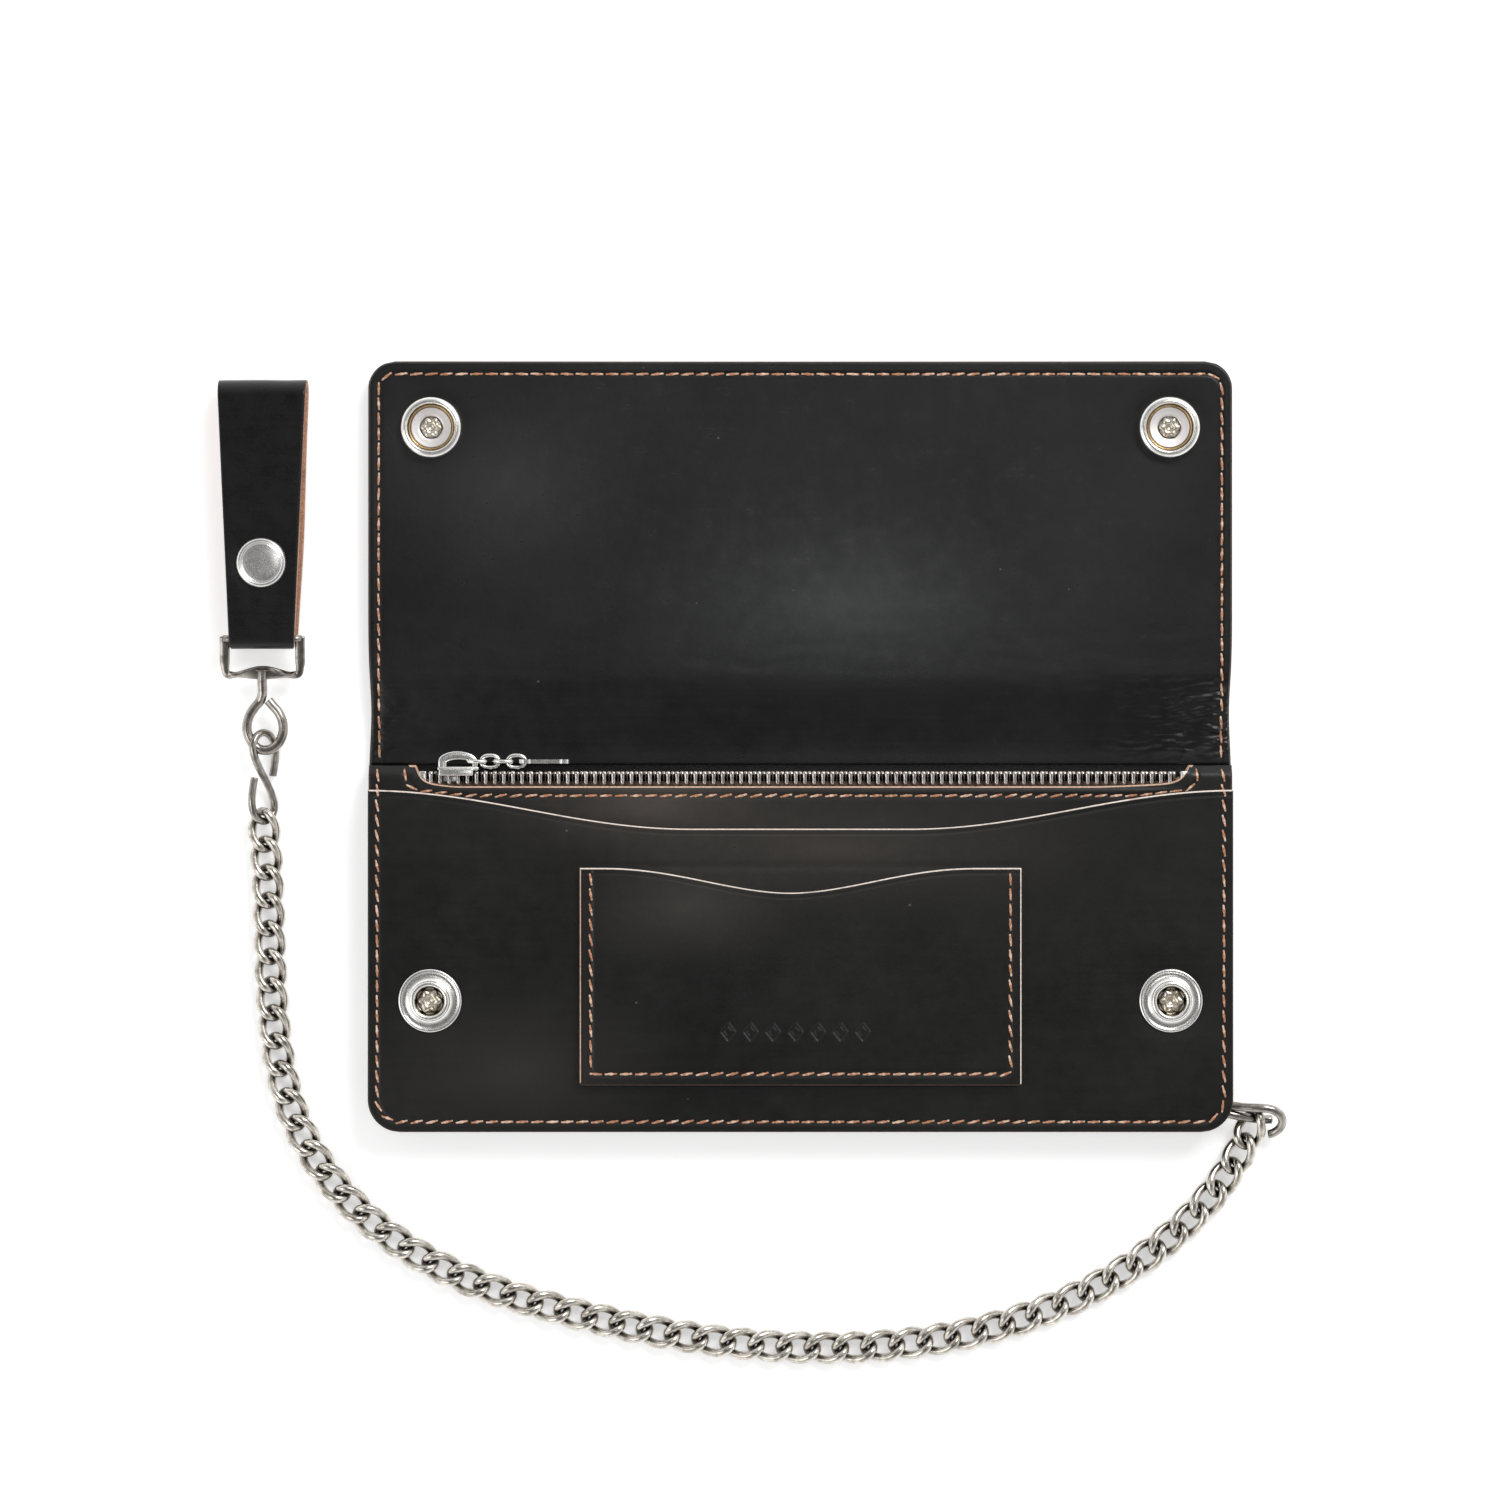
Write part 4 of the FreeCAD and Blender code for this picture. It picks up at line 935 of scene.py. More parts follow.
def make_front_panel():
    """The front panel, whose top edge dips in a wide curve over the zip pocket."""
    side = HALF - LAYER_STEP
    low = PANEL_LOW[1] + LAYER_STEP
    marks = (-side, side, -SNAP_ACROSS, SNAP_ACROSS)
    across = stations(-side, side, marks, SNAP_STEP, SHEET_STEP, reach=SNAP_GRID_REACH)
    rows = stations(low, PANEL_SIDE, (low, -SNAP_ALONG, PANEL_SIDE), 0.25, 0.8, reach=6)
    warp = raised_top(panel_edge, PANEL_SIDE, -60)
    shape = rounded_outline(-side, side, low, PANEL_SIDE, BODY_CORNER - LAYER_STEP, 0, warp=warp)

    def rim(place, on_top):
        if on_top:
            return (1, 1, 1)
        return (3, 3, 3) if place[0] > side - 1.5 or place[1] < low + 0.5 else (0, 3, 3)

    looks = (PANEL_BLACK, PALE_RAW, PANEL_BLACK, DYED_EDGE)
    piece = slab("front_panel_leather", shape, across, rows, panel_top, panel_bottom, PANEL_BEVEL, looks, rim)
    attach(piece, "wallet", "lining_leather", "front_panel")


CARD_SIDE = CARD_HIGH[1]
CARD_DIP = 5.4
CARD_DIP_PLACE = -2.3


def card_edge(across):
    """Top edge of the card pocket: a shallow V with straight flanks and a soft point."""
    half = CARD_HIGH[0]
    away = np.abs(across - CARD_DIP_PLACE) / (half + abs(CARD_DIP_PLACE))
    drop = CARD_DIP * 0.5 * (1 + np.cos(math.pi * np.clip(away / 0.80, 0, 1) ** 0.92))
    return CARD_SIDE - drop


ORNAMENT_COUNT = 7
ORNAMENT_PITCH = 4.9
ORNAMENT_PLACE = (-1.1, -69.4)
ORNAMENT_HALF = (1.7, 2.2)
ORNAMENT_DEPTH = 0.22


def ornament(across, along):
    """A pressed row of small lozenges on the card pocket."""
    start = ORNAMENT_PLACE[0] - ORNAMENT_PITCH * (ORNAMENT_COUNT - 1) / 2
    depth = np.zeros_like(across)
    for number in range(ORNAMENT_COUNT):
        beside = np.abs(across - start - number * ORNAMENT_PITCH) / ORNAMENT_HALF[0]
        away = beside + np.abs(along - ORNAMENT_PLACE[1]) / ORNAMENT_HALF[1]
        pressed = smooth_step(away, 1.08, 0.86) - 0.7 * smooth_step(away, 0.62, 0.42)
        depth = np.minimum(depth, -ORNAMENT_DEPTH * pressed)
    return depth


def card_top(across, along):
    height = CARD_FACE + clouds(across, along, 61, 0.07)
    height = height + groove(across, along, CARD_RUN, 0.2)
    height = height + edge_crease(along, card_edge(across), 0.07)
    bulge = (1 - smooth_step(np.abs(across), 20, 42)) * smooth_step(along, CARD_LOW[1], CARD_LOW[1] + 14)
    side = CARD_HIGH[0] - np.abs(across)
    side_line = -0.09 * np.exp(-(((side - 1.0) / 0.2) ** 2))
    return height + 0.25 * bulge + ornament(across, along) + side_line


def card_bottom(across, along):
    seam = seam_share(across, along, CARD_LOW[1], CARD_HIGH[0])
    return PANEL_FACE + 0.55 - 0.55 * seam - 0.25


def make_card_pocket():
    """The card pocket, sewn on three sides of the front panel, with its row of pressed lozenges."""
    left = CARD_LOW[0]
    right = CARD_HIGH[0]
    low = CARD_LOW[1]
    marks = (left, right, ORNAMENT_PLACE[0] - 12, ORNAMENT_PLACE[0], ORNAMENT_PLACE[0] + 12)
    across = stations(left, right, marks, 0.22, 0.6, reach=6)
    rows = stations(low, CARD_SIDE, (low, ORNAMENT_PLACE[1], CARD_SIDE), 0.22, 0.6, reach=4)
    shape = rounded_outline(left, right, low, CARD_SIDE, 0.6, 0, warp=raised_top(card_edge, CARD_SIDE, -58))

    def rim(place, on_top):
        if on_top or place[0] > right - 0.6:
            return (1, 1, 1)
        return (4, 4, 4) if place[1] < low + 0.6 else (3, 3, 3)

    looks = (PANEL_BLACK, PALE_RAW, PANEL_BLACK, RAW, DYED_EDGE)
    piece = slab("card_pocket_leather", shape, across, rows, card_top, card_bottom, CARD_BEVEL, looks, rim)
    attach(piece, "wallet", "lining_leather", "card_pocket")


# ---------------------------------------------------------------- stitches


def run_path(run, low, high, hang_high):
    """Places along three sides of a run: down one side, across, and up the other (or the reverse)."""
    left, right, near, far, radius = run
    edge = near if hang_high else far
    end = high if hang_high else low
    sign = 1 if hang_high else -1
    points = [(left, end), (left, edge + sign * radius)]
    for step in range(1, 13):
        angle = math.pi / 2 * step / 12
        points.append((left + radius * (1 - math.cos(angle)), edge + sign * radius * (1 - math.sin(angle))))
    points.append((right - radius, edge))
    for step in range(1, 13):
        angle = math.pi / 2 * step / 12
        points.append((right - radius * (1 - math.sin(angle)), edge + sign * radius * (1 - math.cos(angle))))
    points.append((right, end))
    return np.array(points)


def spaced_along(path, pitch):
    """Middles and headings of stitches of one pitch along a path."""
    steps = np.diff(path, axis=0)
    lengths = np.hypot(steps[:, 0], steps[:, 1])
    reached = np.concatenate([[0], np.cumsum(lengths)])
    count = int(round(reached[-1] / pitch))
    places = (np.arange(count) + 0.5) * reached[-1] / count

    def place_at(distances):
        return np.stack([np.interp(distances, reached, path[:, axis]) for axis in (0, 1)], axis=1)

    heading = place_at(places + 0.4) - place_at(places - 0.4)
    return place_at(places), heading / np.linalg.norm(heading, axis=1)[:, None]


THREAD_RADIUS = 0.27
THREAD_LIFT = 0.17
THREAD_DIVE = 0.42
STITCH_RINGS = 15
STITCH_SIDES = 10


def one_stitch(middle, heading, height, length, slant, number):
    """A short two-ply thread that arches out of one hole and dives into the next."""
    turn = math.radians(slant) + 0.10 * math.sin(number * 12.9)
    cosine, sine = math.cos(turn), math.sin(turn)
    heading = np.array([heading[0] * cosine - heading[1] * sine, heading[0] * sine + heading[1] * cosine])
    shares = np.linspace(-1, 1, STITCH_RINGS)
    path = []
    for share in shares:
        place = middle + heading * share * length / 2
        sink = THREAD_DIVE * abs(share) ** 5
        level = float(height(place[:1], place[1:])[0])
        path.append([place[0], place[1], level + THREAD_LIFT - sink])
    angles = np.linspace(0, 2 * math.pi, STITCH_SIDES, endpoint=False)
    points = []
    side = np.array([-heading[1], heading[0], 0])
    for number_now, share in enumerate(shares):
        size = THREAD_RADIUS * max(1 - 0.35 * share**2 - 0.4 * abs(share) ** 7, 0.25)
        ply = size * (1 + 0.16 * np.cos(2 * angles + share * 7.0))
        ring = np.array(path[number_now]) + np.outer(np.cos(angles) * ply, side)
        ring[:, 2] += np.sin(angles) * ply * 0.85
        points.append(ring)
    ends = [face[::-1] for face in end_caps(STITCH_RINGS, STITCH_SIDES)]
    return np.concatenate(points), grid_faces(STITCH_RINGS, STITCH_SIDES, wrap=True) + ends


def sew(name, path, height, length=STITCH_LENGTH, slant=STITCH_SLANT):
    """A line of separate stitches along a path."""
    middles, headings = spaced_along(path, STITCH_PITCH)
    parts = []
    for number in range(len(middles)):
        parts.append(one_stitch(middles[number], headings[number], height, length, slant, number))
    return add_parts(name, parts, THREAD)


def body_surface(across, along):
    """Top of the front panel, or of the zip pocket above the panel's edge."""
    pocket = pocket_front_top(across, along) + 0.1
    return np.where(along < panel_edge(across) - 0.2, panel_top(across, along), pocket)


def make_stitching():
    """All rows of stitches: round the flap, across the fold, round the body, the zip and the card pocket."""
    flap_path = run_path(FLAP_RUN, 0.3, FLAP_RUN[3], hang_high=False)
    flap = sew("flap_stitching", flap_path, lining_top, FLAP_STITCH_LENGTH, FLAP_STITCH_SLANT)
    bend_upper(flap)
    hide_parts("thread_flap")
    for name, across in (("fold_stitching_left", FLAP_RUN[0]), ("fold_stitching_right", FLAP_RUN[1])):
        path = np.array([(across, POCKET_HIGH[1] + 1.4), (across, -0.3)])
        piece = sew(name, path, lining_top, FLAP_STITCH_LENGTH, FLAP_STITCH_SLANT)
        bend_lower(piece)
    body_path = run_path(BODY_RUN, BODY_RUN[2], POCKET_HIGH[1] - 0.6, hang_high=True)
    body = sew("body_stitching", body_path, body_surface)
    zip_path = run_path(ZIP_RUN, ZIP_RUN[2], POCKET_HIGH[1] - 0.5, hang_high=True)
    straight = np.linspace(ZIP_RUN[0] + ZIP_RUN[4], ZIP_RUN[1] - ZIP_RUN[4], 120)[1:-1]
    middle = np.stack([straight, np.full_like(straight, ZIP_RUN[2])], axis=1)
    turn_end = len(zip_path) // 2
    zip_path = np.concatenate([zip_path[:turn_end], middle, zip_path[turn_end:]])
    zip_path[:, 1] += row_lift(zip_path[:, 0], zip_path[:, 1])
    zip_row = sew("zip_stitching", zip_path, pocket_front_top)
    card_path = run_path(CARD_RUN, CARD_RUN[2], CARD_SIDE - 0.8, hang_high=True)
    card = sew("card_stitching", card_path, card_top)
    for piece, node in ((body, "thread_body"), (zip_row, "thread_zip"), (card, "thread_card_pocket")):
        attach(piece, "wallet", "stitching", node)


# ---------------------------------------------------------------- press studs


def star_end(centre, radius, height, petals=6):
    """The tube's end, split and rolled outwards into petals."""
    profile = [
        (0.0, -0.35), (radius * 0.28, -0.32), (radius * 0.36, -0.05), (radius * 0.45, 0.12),
        (radius * 0.62, 0.2), (radius * 0.82, 0.12), (radius * 0.96, -0.08), (radius, -0.3),
        (radius * 0.9, -0.5),
    ]
    points, faces = lathe_mesh(profile, (0, 0, 0), 96, petals, 0.11)
    turn = np.arctan2(points[:, 1], points[:, 0])
    away = np.hypot(points[:, 0], points[:, 1]) / radius
    points[:, 2] += 0.10 * np.cos(petals * turn) * np.clip(away, 0, 1) + 0.05 * np.sin(2 * turn + 1) * away
    return points + np.array([centre[0], centre[1], centre[2] + height]), faces


# profiles of the press studs' turned parts: (radius, height) points in millimetres

# polished outer ring of a flap socket
SOCKET_RING = (
    (6.45, 0.02), (6.70, 0.10), (6.74, 0.5), (6.76, 1.4), (6.72, 1.9), (6.58, 2.25), (6.32, 2.5),
    (6.0, 2.66), (5.7, 2.74), (5.45, 2.74), (5.28, 2.62), (5.18, 2.4), (5.16, 2.1), (5.16, 1.5),
)
# brass ring that shows inside the rim of a flap socket
SOCKET_SPRING = (
    (5.12, 1.3), (5.08, 1.6), (4.96, 1.78), (4.80, 1.82), (4.66, 1.74), (4.58, 1.55), (4.56, 1.2),
)
# inner ring, spring groove and floor of a flap socket, round the boss that holds the rolled tube
SOCKET_WELL = (
    (4.60, 1.0), (4.50, 1.2), (4.36, 1.3), (4.18, 1.28), (3.9, 1.22), (3.2, 1.16), (2.7, 1.12),
    (2.45, 1.0), (2.36, 0.75), (2.3, 0.6), (2.1, 0.6), (1.9, 0.8), (1.7, 1.0), (1.6, 0.7), (0.0, 0.7),
)
# flange and ring of a body stud
STUD_RING = (
    (6.7, 0.0), (6.93, 0.08), (6.95, 0.3), (6.85, 0.52), (6.6, 0.62), (6.3, 0.56), (6.1, 0.44),
    (5.9, 0.40), (5.2, 0.44), (4.75, 0.6), (4.35, 0.95), (4.12, 1.3), (4.15, 1.6), (4.36, 1.9),
    (4.42, 2.2), (4.32, 2.5), (4.1, 2.70), (3.8, 2.78), (3.5, 2.72), (3.3, 2.5), (3.2, 2.1), (3.1, 1.7),
)
# well of a body stud, with the flat ring that the tube is rolled over
STUD_WELL = (
    (3.15, 2.0), (3.05, 1.5), (2.95, 1.1), (2.7, 0.95), (2.45, 1.0), (2.3, 1.15), (2.1, 1.25),
    (1.9, 1.2), (1.75, 0.95), (1.6, 0.7), (0.0, 0.7),
)
# smooth outer cap with a rolled rim
CAP_RADIUS = 7.35
CAP_DOME = (
    (CAP_RADIUS * 0.90, 0.0), (CAP_RADIUS * 0.97, 0.05), (CAP_RADIUS, 0.22), (CAP_RADIUS * 0.985, 0.45),
    (CAP_RADIUS * 0.94, 0.62), (CAP_RADIUS * 0.86, 0.74), (CAP_RADIUS * 0.6, 0.90), (CAP_RADIUS * 0.3, 0.98),
    (0.0, 1.0),
)
CAP_UNDERSIDE = 1.72
SNAP_SINK = 0.32
STAR_HEIGHT = 1.35


def snap_places(along, height):
    """The left and the right press stud's centre."""
    return [(across, along, height) for across in (-SNAP_ACROSS, SNAP_ACROSS)]


def turned_at(profile, places, flip=False):
    """The same turned shape at several places."""
    return [lathe_mesh(profile, place, flip=flip) for place in places]


def stars_at(places, radius):
    """The same star of rolled petals at several places."""
    return [star_end(place, radius, STAR_HEIGHT) for place in places]


def make_snaps():
    """Press studs on the flap and on the body, left and right."""
    flap = snap_places(SNAP_ALONG, LINING_HIGH[2] - SNAP_SINK)
    body = snap_places(-SNAP_ALONG, PANEL_FACE - SNAP_SINK)
    caps = turned_at(CAP_DOME, snap_places(SNAP_ALONG, CAP_UNDERSIDE), flip=True)
    for name, parts, look, rides_on, slot_name, *nodes in (
        ("flap_snap_rings", turned_at(SOCKET_RING, flap), NICKEL, "flap", "snap_brass", "flap_snap_sockets"),
        ("flap_snap_spring_rings", turned_at(SOCKET_SPRING, flap), BRASS, "flap", "snap_brass",
         "flap_snap_springs"),
        ("flap_snap_wells", turned_at(SOCKET_WELL, flap), PEARL, "flap", "snap_brass"),
        ("flap_snap_stars", stars_at(flap, 2.15), BRASS_TINT, "flap", "snap_brass"),
        ("body_stud_rings", turned_at(STUD_RING, body), NICKEL, "wallet", "nickel", "body_snap_studs"),
        ("body_stud_wells", turned_at(STUD_WELL, body), BRASS_TINT, "wallet", "nickel"),
        ("body_stud_stars", stars_at(body, 2.5), BRASS_TINT, "wallet", "nickel", "body_snap_posts"),
        ("flap_snap_domes", caps, SATIN, "flap", "nickel", "flap_snap_caps"),
    ):
        attach(add_parts(name, parts, look), rides_on, slot_name, *nodes)


# ---------------------------------------------------------------- zip


TOOTH_REACH = 1.55
TOOTH_HALF_WIDTH = 0.50
TOOTH_HALF_HEIGHT = 0.98
TOOTH_PITCH = 2.0
CORD_ALONG = -15.6
CORD_SIDES = 10


def fuller(value, power):
    """A sine or cosine pushed away from zero, with its sign kept."""
    return math.copysign(abs(value) ** power, value)


def zip_tooth(across, along, height, facing):
    """One cast tooth, seen from the wallet's face as a rounded bar with a bright head."""
    rings = 13
    sides = 16
    points = []
    for ring in range(rings):
        lift = -math.pi / 2 + math.pi * ring / (rings - 1)
        for step in range(sides):
            turn = 2 * math.pi * step / sides
            wide = fuller(math.cos(turn), 0.55) * abs(math.cos(lift)) ** 0.5
            tall = fuller(math.sin(turn), 0.55) * abs(math.cos(lift)) ** 0.5
            deep = fuller(math.sin(lift), 0.6)
            points.append([wide * TOOTH_HALF_WIDTH, deep * TOOTH_REACH, tall * TOOTH_HALF_HEIGHT])
    points = np.array(points)
    head = smooth_step(points[:, 1], 0.3, 1.1)
    points[:, 0] *= 1 + 0.22 * head
    waist_cut = np.exp(-((points[:, 1] + 0.1) / 0.35) ** 2)
    points[:, 2] *= 1 - 0.20 * waist_cut
    points[:, 0] *= 1 - 0.12 * waist_cut
    points[:, 2] += facing * 0.1 * head
    return points + np.array([across, along, height]), grid_faces(rings, sides, wrap=True)


def make_zip_teeth():
    """Two rows of meshing teeth."""
    along = TEETH_HIGH[1] + 0.05 - TOOTH_REACH
    for name, low, high, lift, facing, node in (
        ("zip_teeth_front", TEETH_LOW, TEETH_HIGH, TEETH_HIGH[2] - 0.85, 1, "zipper_teeth_front"),
        ("zip_teeth_back", BACK_TEETH_LOW, BACK_TEETH_HIGH, BACK_TEETH_LOW[2] + 1.3, -1, "zipper_teeth_back"),
    ):
        count = int((high[0] - low[0]) / TOOTH_PITCH) + 1
        starts = [low[0] + 0.6 + TOOTH_PITCH * number for number in range(count)]
        teeth = [zip_tooth(start, along, lift, facing) for start in starts]
        attach(add_parts(name, teeth, ZIP_METAL), "wallet", "nickel", node)


def make_zip_tape(name, node, base, sign):
    """A woven tape at the height base, bent by sign towards its teeth, with a corded edge beside them."""
    tape_low, tape_high = node_box(node)
    left, right = tape_low[0], tape_high[0]
    near, far = tape_low[1], tape_high[1] + 0.2

    def bent(place_y):
        return sign * 0.25 * smooth_step(place_y, -18, CORD_ALONG)

    def top(across, place_y):
        ribs = 0.06 * np.sin(across * 2 * math.pi / 1.0) * np.sin(place_y * 2 * math.pi / 0.9)
        return base + 0.25 + ribs + bent(place_y)

    def bottom(across, place_y):
        return base - 0.25 + 0.0 * across + bent(place_y)

    across = stations(left, right, (left, right), 0.2, 0.25)
    rows = stations(near, far, (tape_high[1],), 0.2, 0.6)
    shape = rounded_outline(left, right, near, far, 0.5, 0.5)
    tape = slab(name, shape, across, rows, top, bottom, TAPE_BEVEL, (TAPE,), lambda _, __: (0, 0, 0))
    attach(tape, "wallet", "zip_tape", node)
    cord_x = np.arange(left, right, 0.12)
    swell = 0.42 + 0.10 * np.abs(np.sin(cord_x * math.pi / 1.0))
    level = np.full_like(cord_x, base + sign * 0.35)
    cord = np.stack([cord_x, np.full_like(cord_x, CORD_ALONG), level], axis=1)
    piece = add_parts(name + "_cord", [tube_mesh(cord, swell, CORD_SIDES)], TAPE)
    attach(piece, "wallet", "zip_tape")


def rounded_block(low, high, radius, steps=4):
    """A box with rounded edges and corners."""
    low = np.asarray(low, float)
    high = np.asarray(high, float)
    middle = (low + high) / 2
    core = (high - low) / 2 - radius
    rings = 2 * (steps + 1)
    sides = 4 * (steps + 1)
    lifts = [-math.pi / 2 + math.pi / 2 * k / steps for k in range(steps + 1)]
    lifts += [math.pi / 2 * k / steps for k in range(steps + 1)]
    turns = []
    for quarter in range(4):
        turns += [(quarter, math.pi / 2 * quarter + math.pi / 2 * k / steps) for k in range(steps + 1)]
    points = []
    for number, lift in enumerate(lifts):
        sign_z = -1 if number <= steps else 1
        for quarter, turn in turns:
            sign_x = 1 if quarter in (0, 3) else -1
            sign_y = 1 if quarter in (0, 1) else -1
            points.append([
                sign_x * core[0] + radius * math.cos(lift) * math.cos(turn),
                sign_y * core[1] + radius * math.cos(lift) * math.sin(turn),
                sign_z * core[2] + radius * math.sin(lift),
            ])
    faces = grid_faces(rings, sides, wrap=True) + end_caps(rings, sides)
    return np.array(points) + middle, faces


def band_section(wide, thick, count=20):
    """Outline of a flat band with round edges."""
    angles = np.linspace(0, 2 * math.pi, count, endpoint=False)
    across = np.sign(np.cos(angles)) * np.abs(np.cos(angles)) ** 0.45 * wide / 2
    upward = np.sign(np.sin(angles)) * np.abs(np.sin(angles)) ** 0.7 * thick / 2
    return np.stack([across, upward], axis=1)


CHEEK_HALF = 3.1
CHEEK_THICK = 0.85
BRIDGE_THICK = 0.9


def make_slider():
    """Slider: two shaped cheeks over the teeth, joined by a neck, and an arched bridge for the pull."""
    left, right = SLIDER_LOW[0], SLIDER_HIGH[0]
    near = SLIDER_HIGH[1]
    middle = (SLIDER_LOW[2] + SLIDER_HIGH[2]) / 2
    face = TEETH_HIGH[1] + 0.12
    shaped, cheek_faces = rounded_block(
        (left, face, middle - CHEEK_HALF), (right, face + CHEEK_THICK, middle + CHEEK_HALF), 0.35
    )
    taper = smooth_step(shaped[:, 0], left + 5.0, right)
    shaped[:, 2] = middle + (shaped[:, 2] - middle) * (1 - 0.22 * taper)
    parts = [(shaped, cheek_faces)]
    for sign in (-1, 1):
        low_z, high_z = sorted((middle + sign * 2.35, middle + sign * CHEEK_HALF))
        parts.append(rounded_block((left + 0.3, face - 1.15, low_z), (right - 1.2, face + 0.5, high_z), 0.3))
    for start, end, near_y, far_y, half in (
        (left + 0.8, left + 4.6, face - 3.2, face + 0.2, 0.35),
        (left + 0.6, right - 0.6, face - 3.7, face - 2.75, 0.4),
    ):
        parts.append(rounded_block((start, near_y, middle - half), (end, far_y, middle + half), 0.2))
    base = face + 0.6
    arch = curve_through(
        [
            (left + 0.9, base, middle), (left + 1.05, base + 1.7, middle), (left + 2.3, near - 0.75, middle),
            (left + 4.2, near - 0.45, middle), (right - 2.4, near - 0.75, middle),
            (right - 1.05, base + 1.5, middle), (right - 0.95, base, middle),
        ],
        48,
    )

    def bridge(share):
        return band_section(1.9 - 0.7 * smooth_step(share, 0.45, 1.0), BRIDGE_THICK)

    parts.append(tube_mesh(arch, 0.5, 20, section=bridge))
    attach(add_parts("zip_slider_body", parts, NICKEL), "zip_slider", "nickel", "zipper_slider")


def make_stops():
    """The four small blocks at the ends of the two rows of teeth."""
    low, high = node_box("zipper_stops")
    size = 1.6
    parts = []
    for start in (low[0], high[0] - size):
        for floor in (low[2], high[2] - size):
            parts.append(rounded_block((start, low[1], floor), (start + size, high[1], floor + size), 0.3))
    attach(add_parts("zip_end_stops", parts, NICKEL), "wallet", "nickel", "zipper_stops")


# ---------------------------------------------------------------- belt strap

STRAP_MIDDLE = (STRAP_LOW[0] + STRAP_HIGH[0]) / 2
STRAP_FACE = STRAP_HIGH[2]
STRAP_BAR = 16.4
BAR_HEIGHT = 6.45
STRAP_THICK = REAR_HIGH[2] - REAR_LOW[2]
STRAP_FOLD = STRAP_HIGH[1]
FRONT_MIDDLE = STRAP_FACE - STRAP_THICK / 2
REAR_MIDDLE = (REAR_LOW[2] + REAR_HIGH[2]) / 2
FOLD_RADIUS = (FRONT_MIDDLE - REAR_MIDDLE) / 2
JOIN_ALONG = 19.0
STRAP_END = 15.5
WRAP_END = 42.0
STRAP_BEVEL = 0.3
STRAP_EDGE = 8.5
RIPPLE = 0.06
STRAP_SNAP_ALONG = 33.0
TOP_HALF = 9.75
WAIST_HALF = 7.05


def strap_half(along):
    """Half the strap's width at a place along the wallet."""
    share = np.clip((along - STRAP_LOW[1]) / (STRAP_FOLD + 4 - STRAP_LOW[1]), 0, 1)
    return WAIST_HALF + (TOP_HALF - WAIST_HALF) * share


def loop_place(run, lift):
    """Where a length of run along the strap lies, with a lift out of its surface. Gives along and up."""
    front = STRAP_FOLD - JOIN_ALONG
    arc = math.pi * FOLD_RADIUS
    middle_height = (FRONT_MIDDLE + REAR_MIDDLE) / 2
    turn = np.clip((run - front) / FOLD_RADIUS, 0, math.pi)
    beyond = np.maximum(run - front - arc, 0)
    before = np.minimum(run, front)
    radius = FOLD_RADIUS + lift
    along = JOIN_ALONG + before + radius * np.sin(turn) - beyond
    up = middle_height + radius * np.cos(turn)
    return along, up


def make_strip(name, length, rows, ripple, bend):
    """A strip of the strap's leather with raw sides, laid out flat along its run and then bent into place."""
    across = stations(-1, 1, (-1, 1), 0.03, 0.06, reach=0.15)

    def outline(share_x, share_y, inset):
        run = share_y * length if inset == 0 else np.clip(share_y * length, 0, length - inset)
        return (share_x * 2 - 1) * (1 - inset / STRAP_EDGE), run

    def skin(sign):
        return lambda share_x, run: sign * STRAP_THICK / 2 + ripple * field(share_x * 2 + 4, run / 9, 71)

    return slab(
        name, outline, across, rows, skin(1), skin(-1), STRAP_BEVEL, (BLACK, FLESH, FLESH),
        lambda _, __: (0, 1, 1), (True, False), bend,
    )


def make_strap():
    """The strap: one strip from the snap's front over the top fold and down its rear."""
    front = STRAP_FOLD - JOIN_ALONG
    length = front + math.pi * FOLD_RADIUS + (STRAP_FOLD - STRAP_END)

    def bend(points):
        along, up = loop_place(points[:, 1], points[:, 2])
        behind = smooth_step(points[:, 1], front, front + 12)
        width = strap_half(along)
        shift = behind * (0.12 + 0.38 * np.exp(-(((along - 38) / 16) ** 2)))
        place_x = STRAP_MIDDLE + points[:, 0] * width + shift
        snap = np.hypot(place_x - STRAP_MIDDLE, along - STRAP_SNAP_ALONG)
        up = up - (1 - behind) * 0.25 * np.exp(-np.maximum(snap - 5.5, 0) / 2.5) * (snap < 30)
        return np.stack([place_x, along, up], axis=1)

    rows = stations(0, length, (front + 5,), 0.4, 1.0, reach=8)
    strap = make_strip("strap_leather", length, rows, RIPPLE, bend)
    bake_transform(strap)
    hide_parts("belt_strap_rear")


def make_strap_wrap():
    """The strap's lower end: round the bar of the swivel frame and back up behind the snap."""
    radius = FRONT_MIDDLE - BAR_HEIGHT
    lead = JOIN_ALONG - STRAP_BAR
    arc = math.pi * radius
    length = lead + arc + WRAP_END - STRAP_BAR

    def bend(points):
        run = points[:, 1]
        turn = np.clip((run - lead) / radius, 0, math.pi)
        reach = radius + points[:, 2]
        along = STRAP_BAR + np.maximum(lead - run, 0) - reach * np.sin(turn) + np.maximum(run - lead - arc, 0)
        up = BAR_HEIGHT + reach * np.cos(turn)
        place_x = STRAP_MIDDLE + points[:, 0] * (strap_half(along) - 0.15 * (turn > 1))
        return np.stack([place_x, along, up], axis=1)

    rows = stations(0, length, (lead, lead + arc), 0.3, 1.0, reach=3)
    wrap = make_strip("strap_wrap", length, rows, 0.0, bend)
    # the strip runs the other way here, so its faces are turned over to face outwards
    wrap.data.flip_normals()
    attach(wrap, "strap_front", "black_leather", "belt_strap_front")




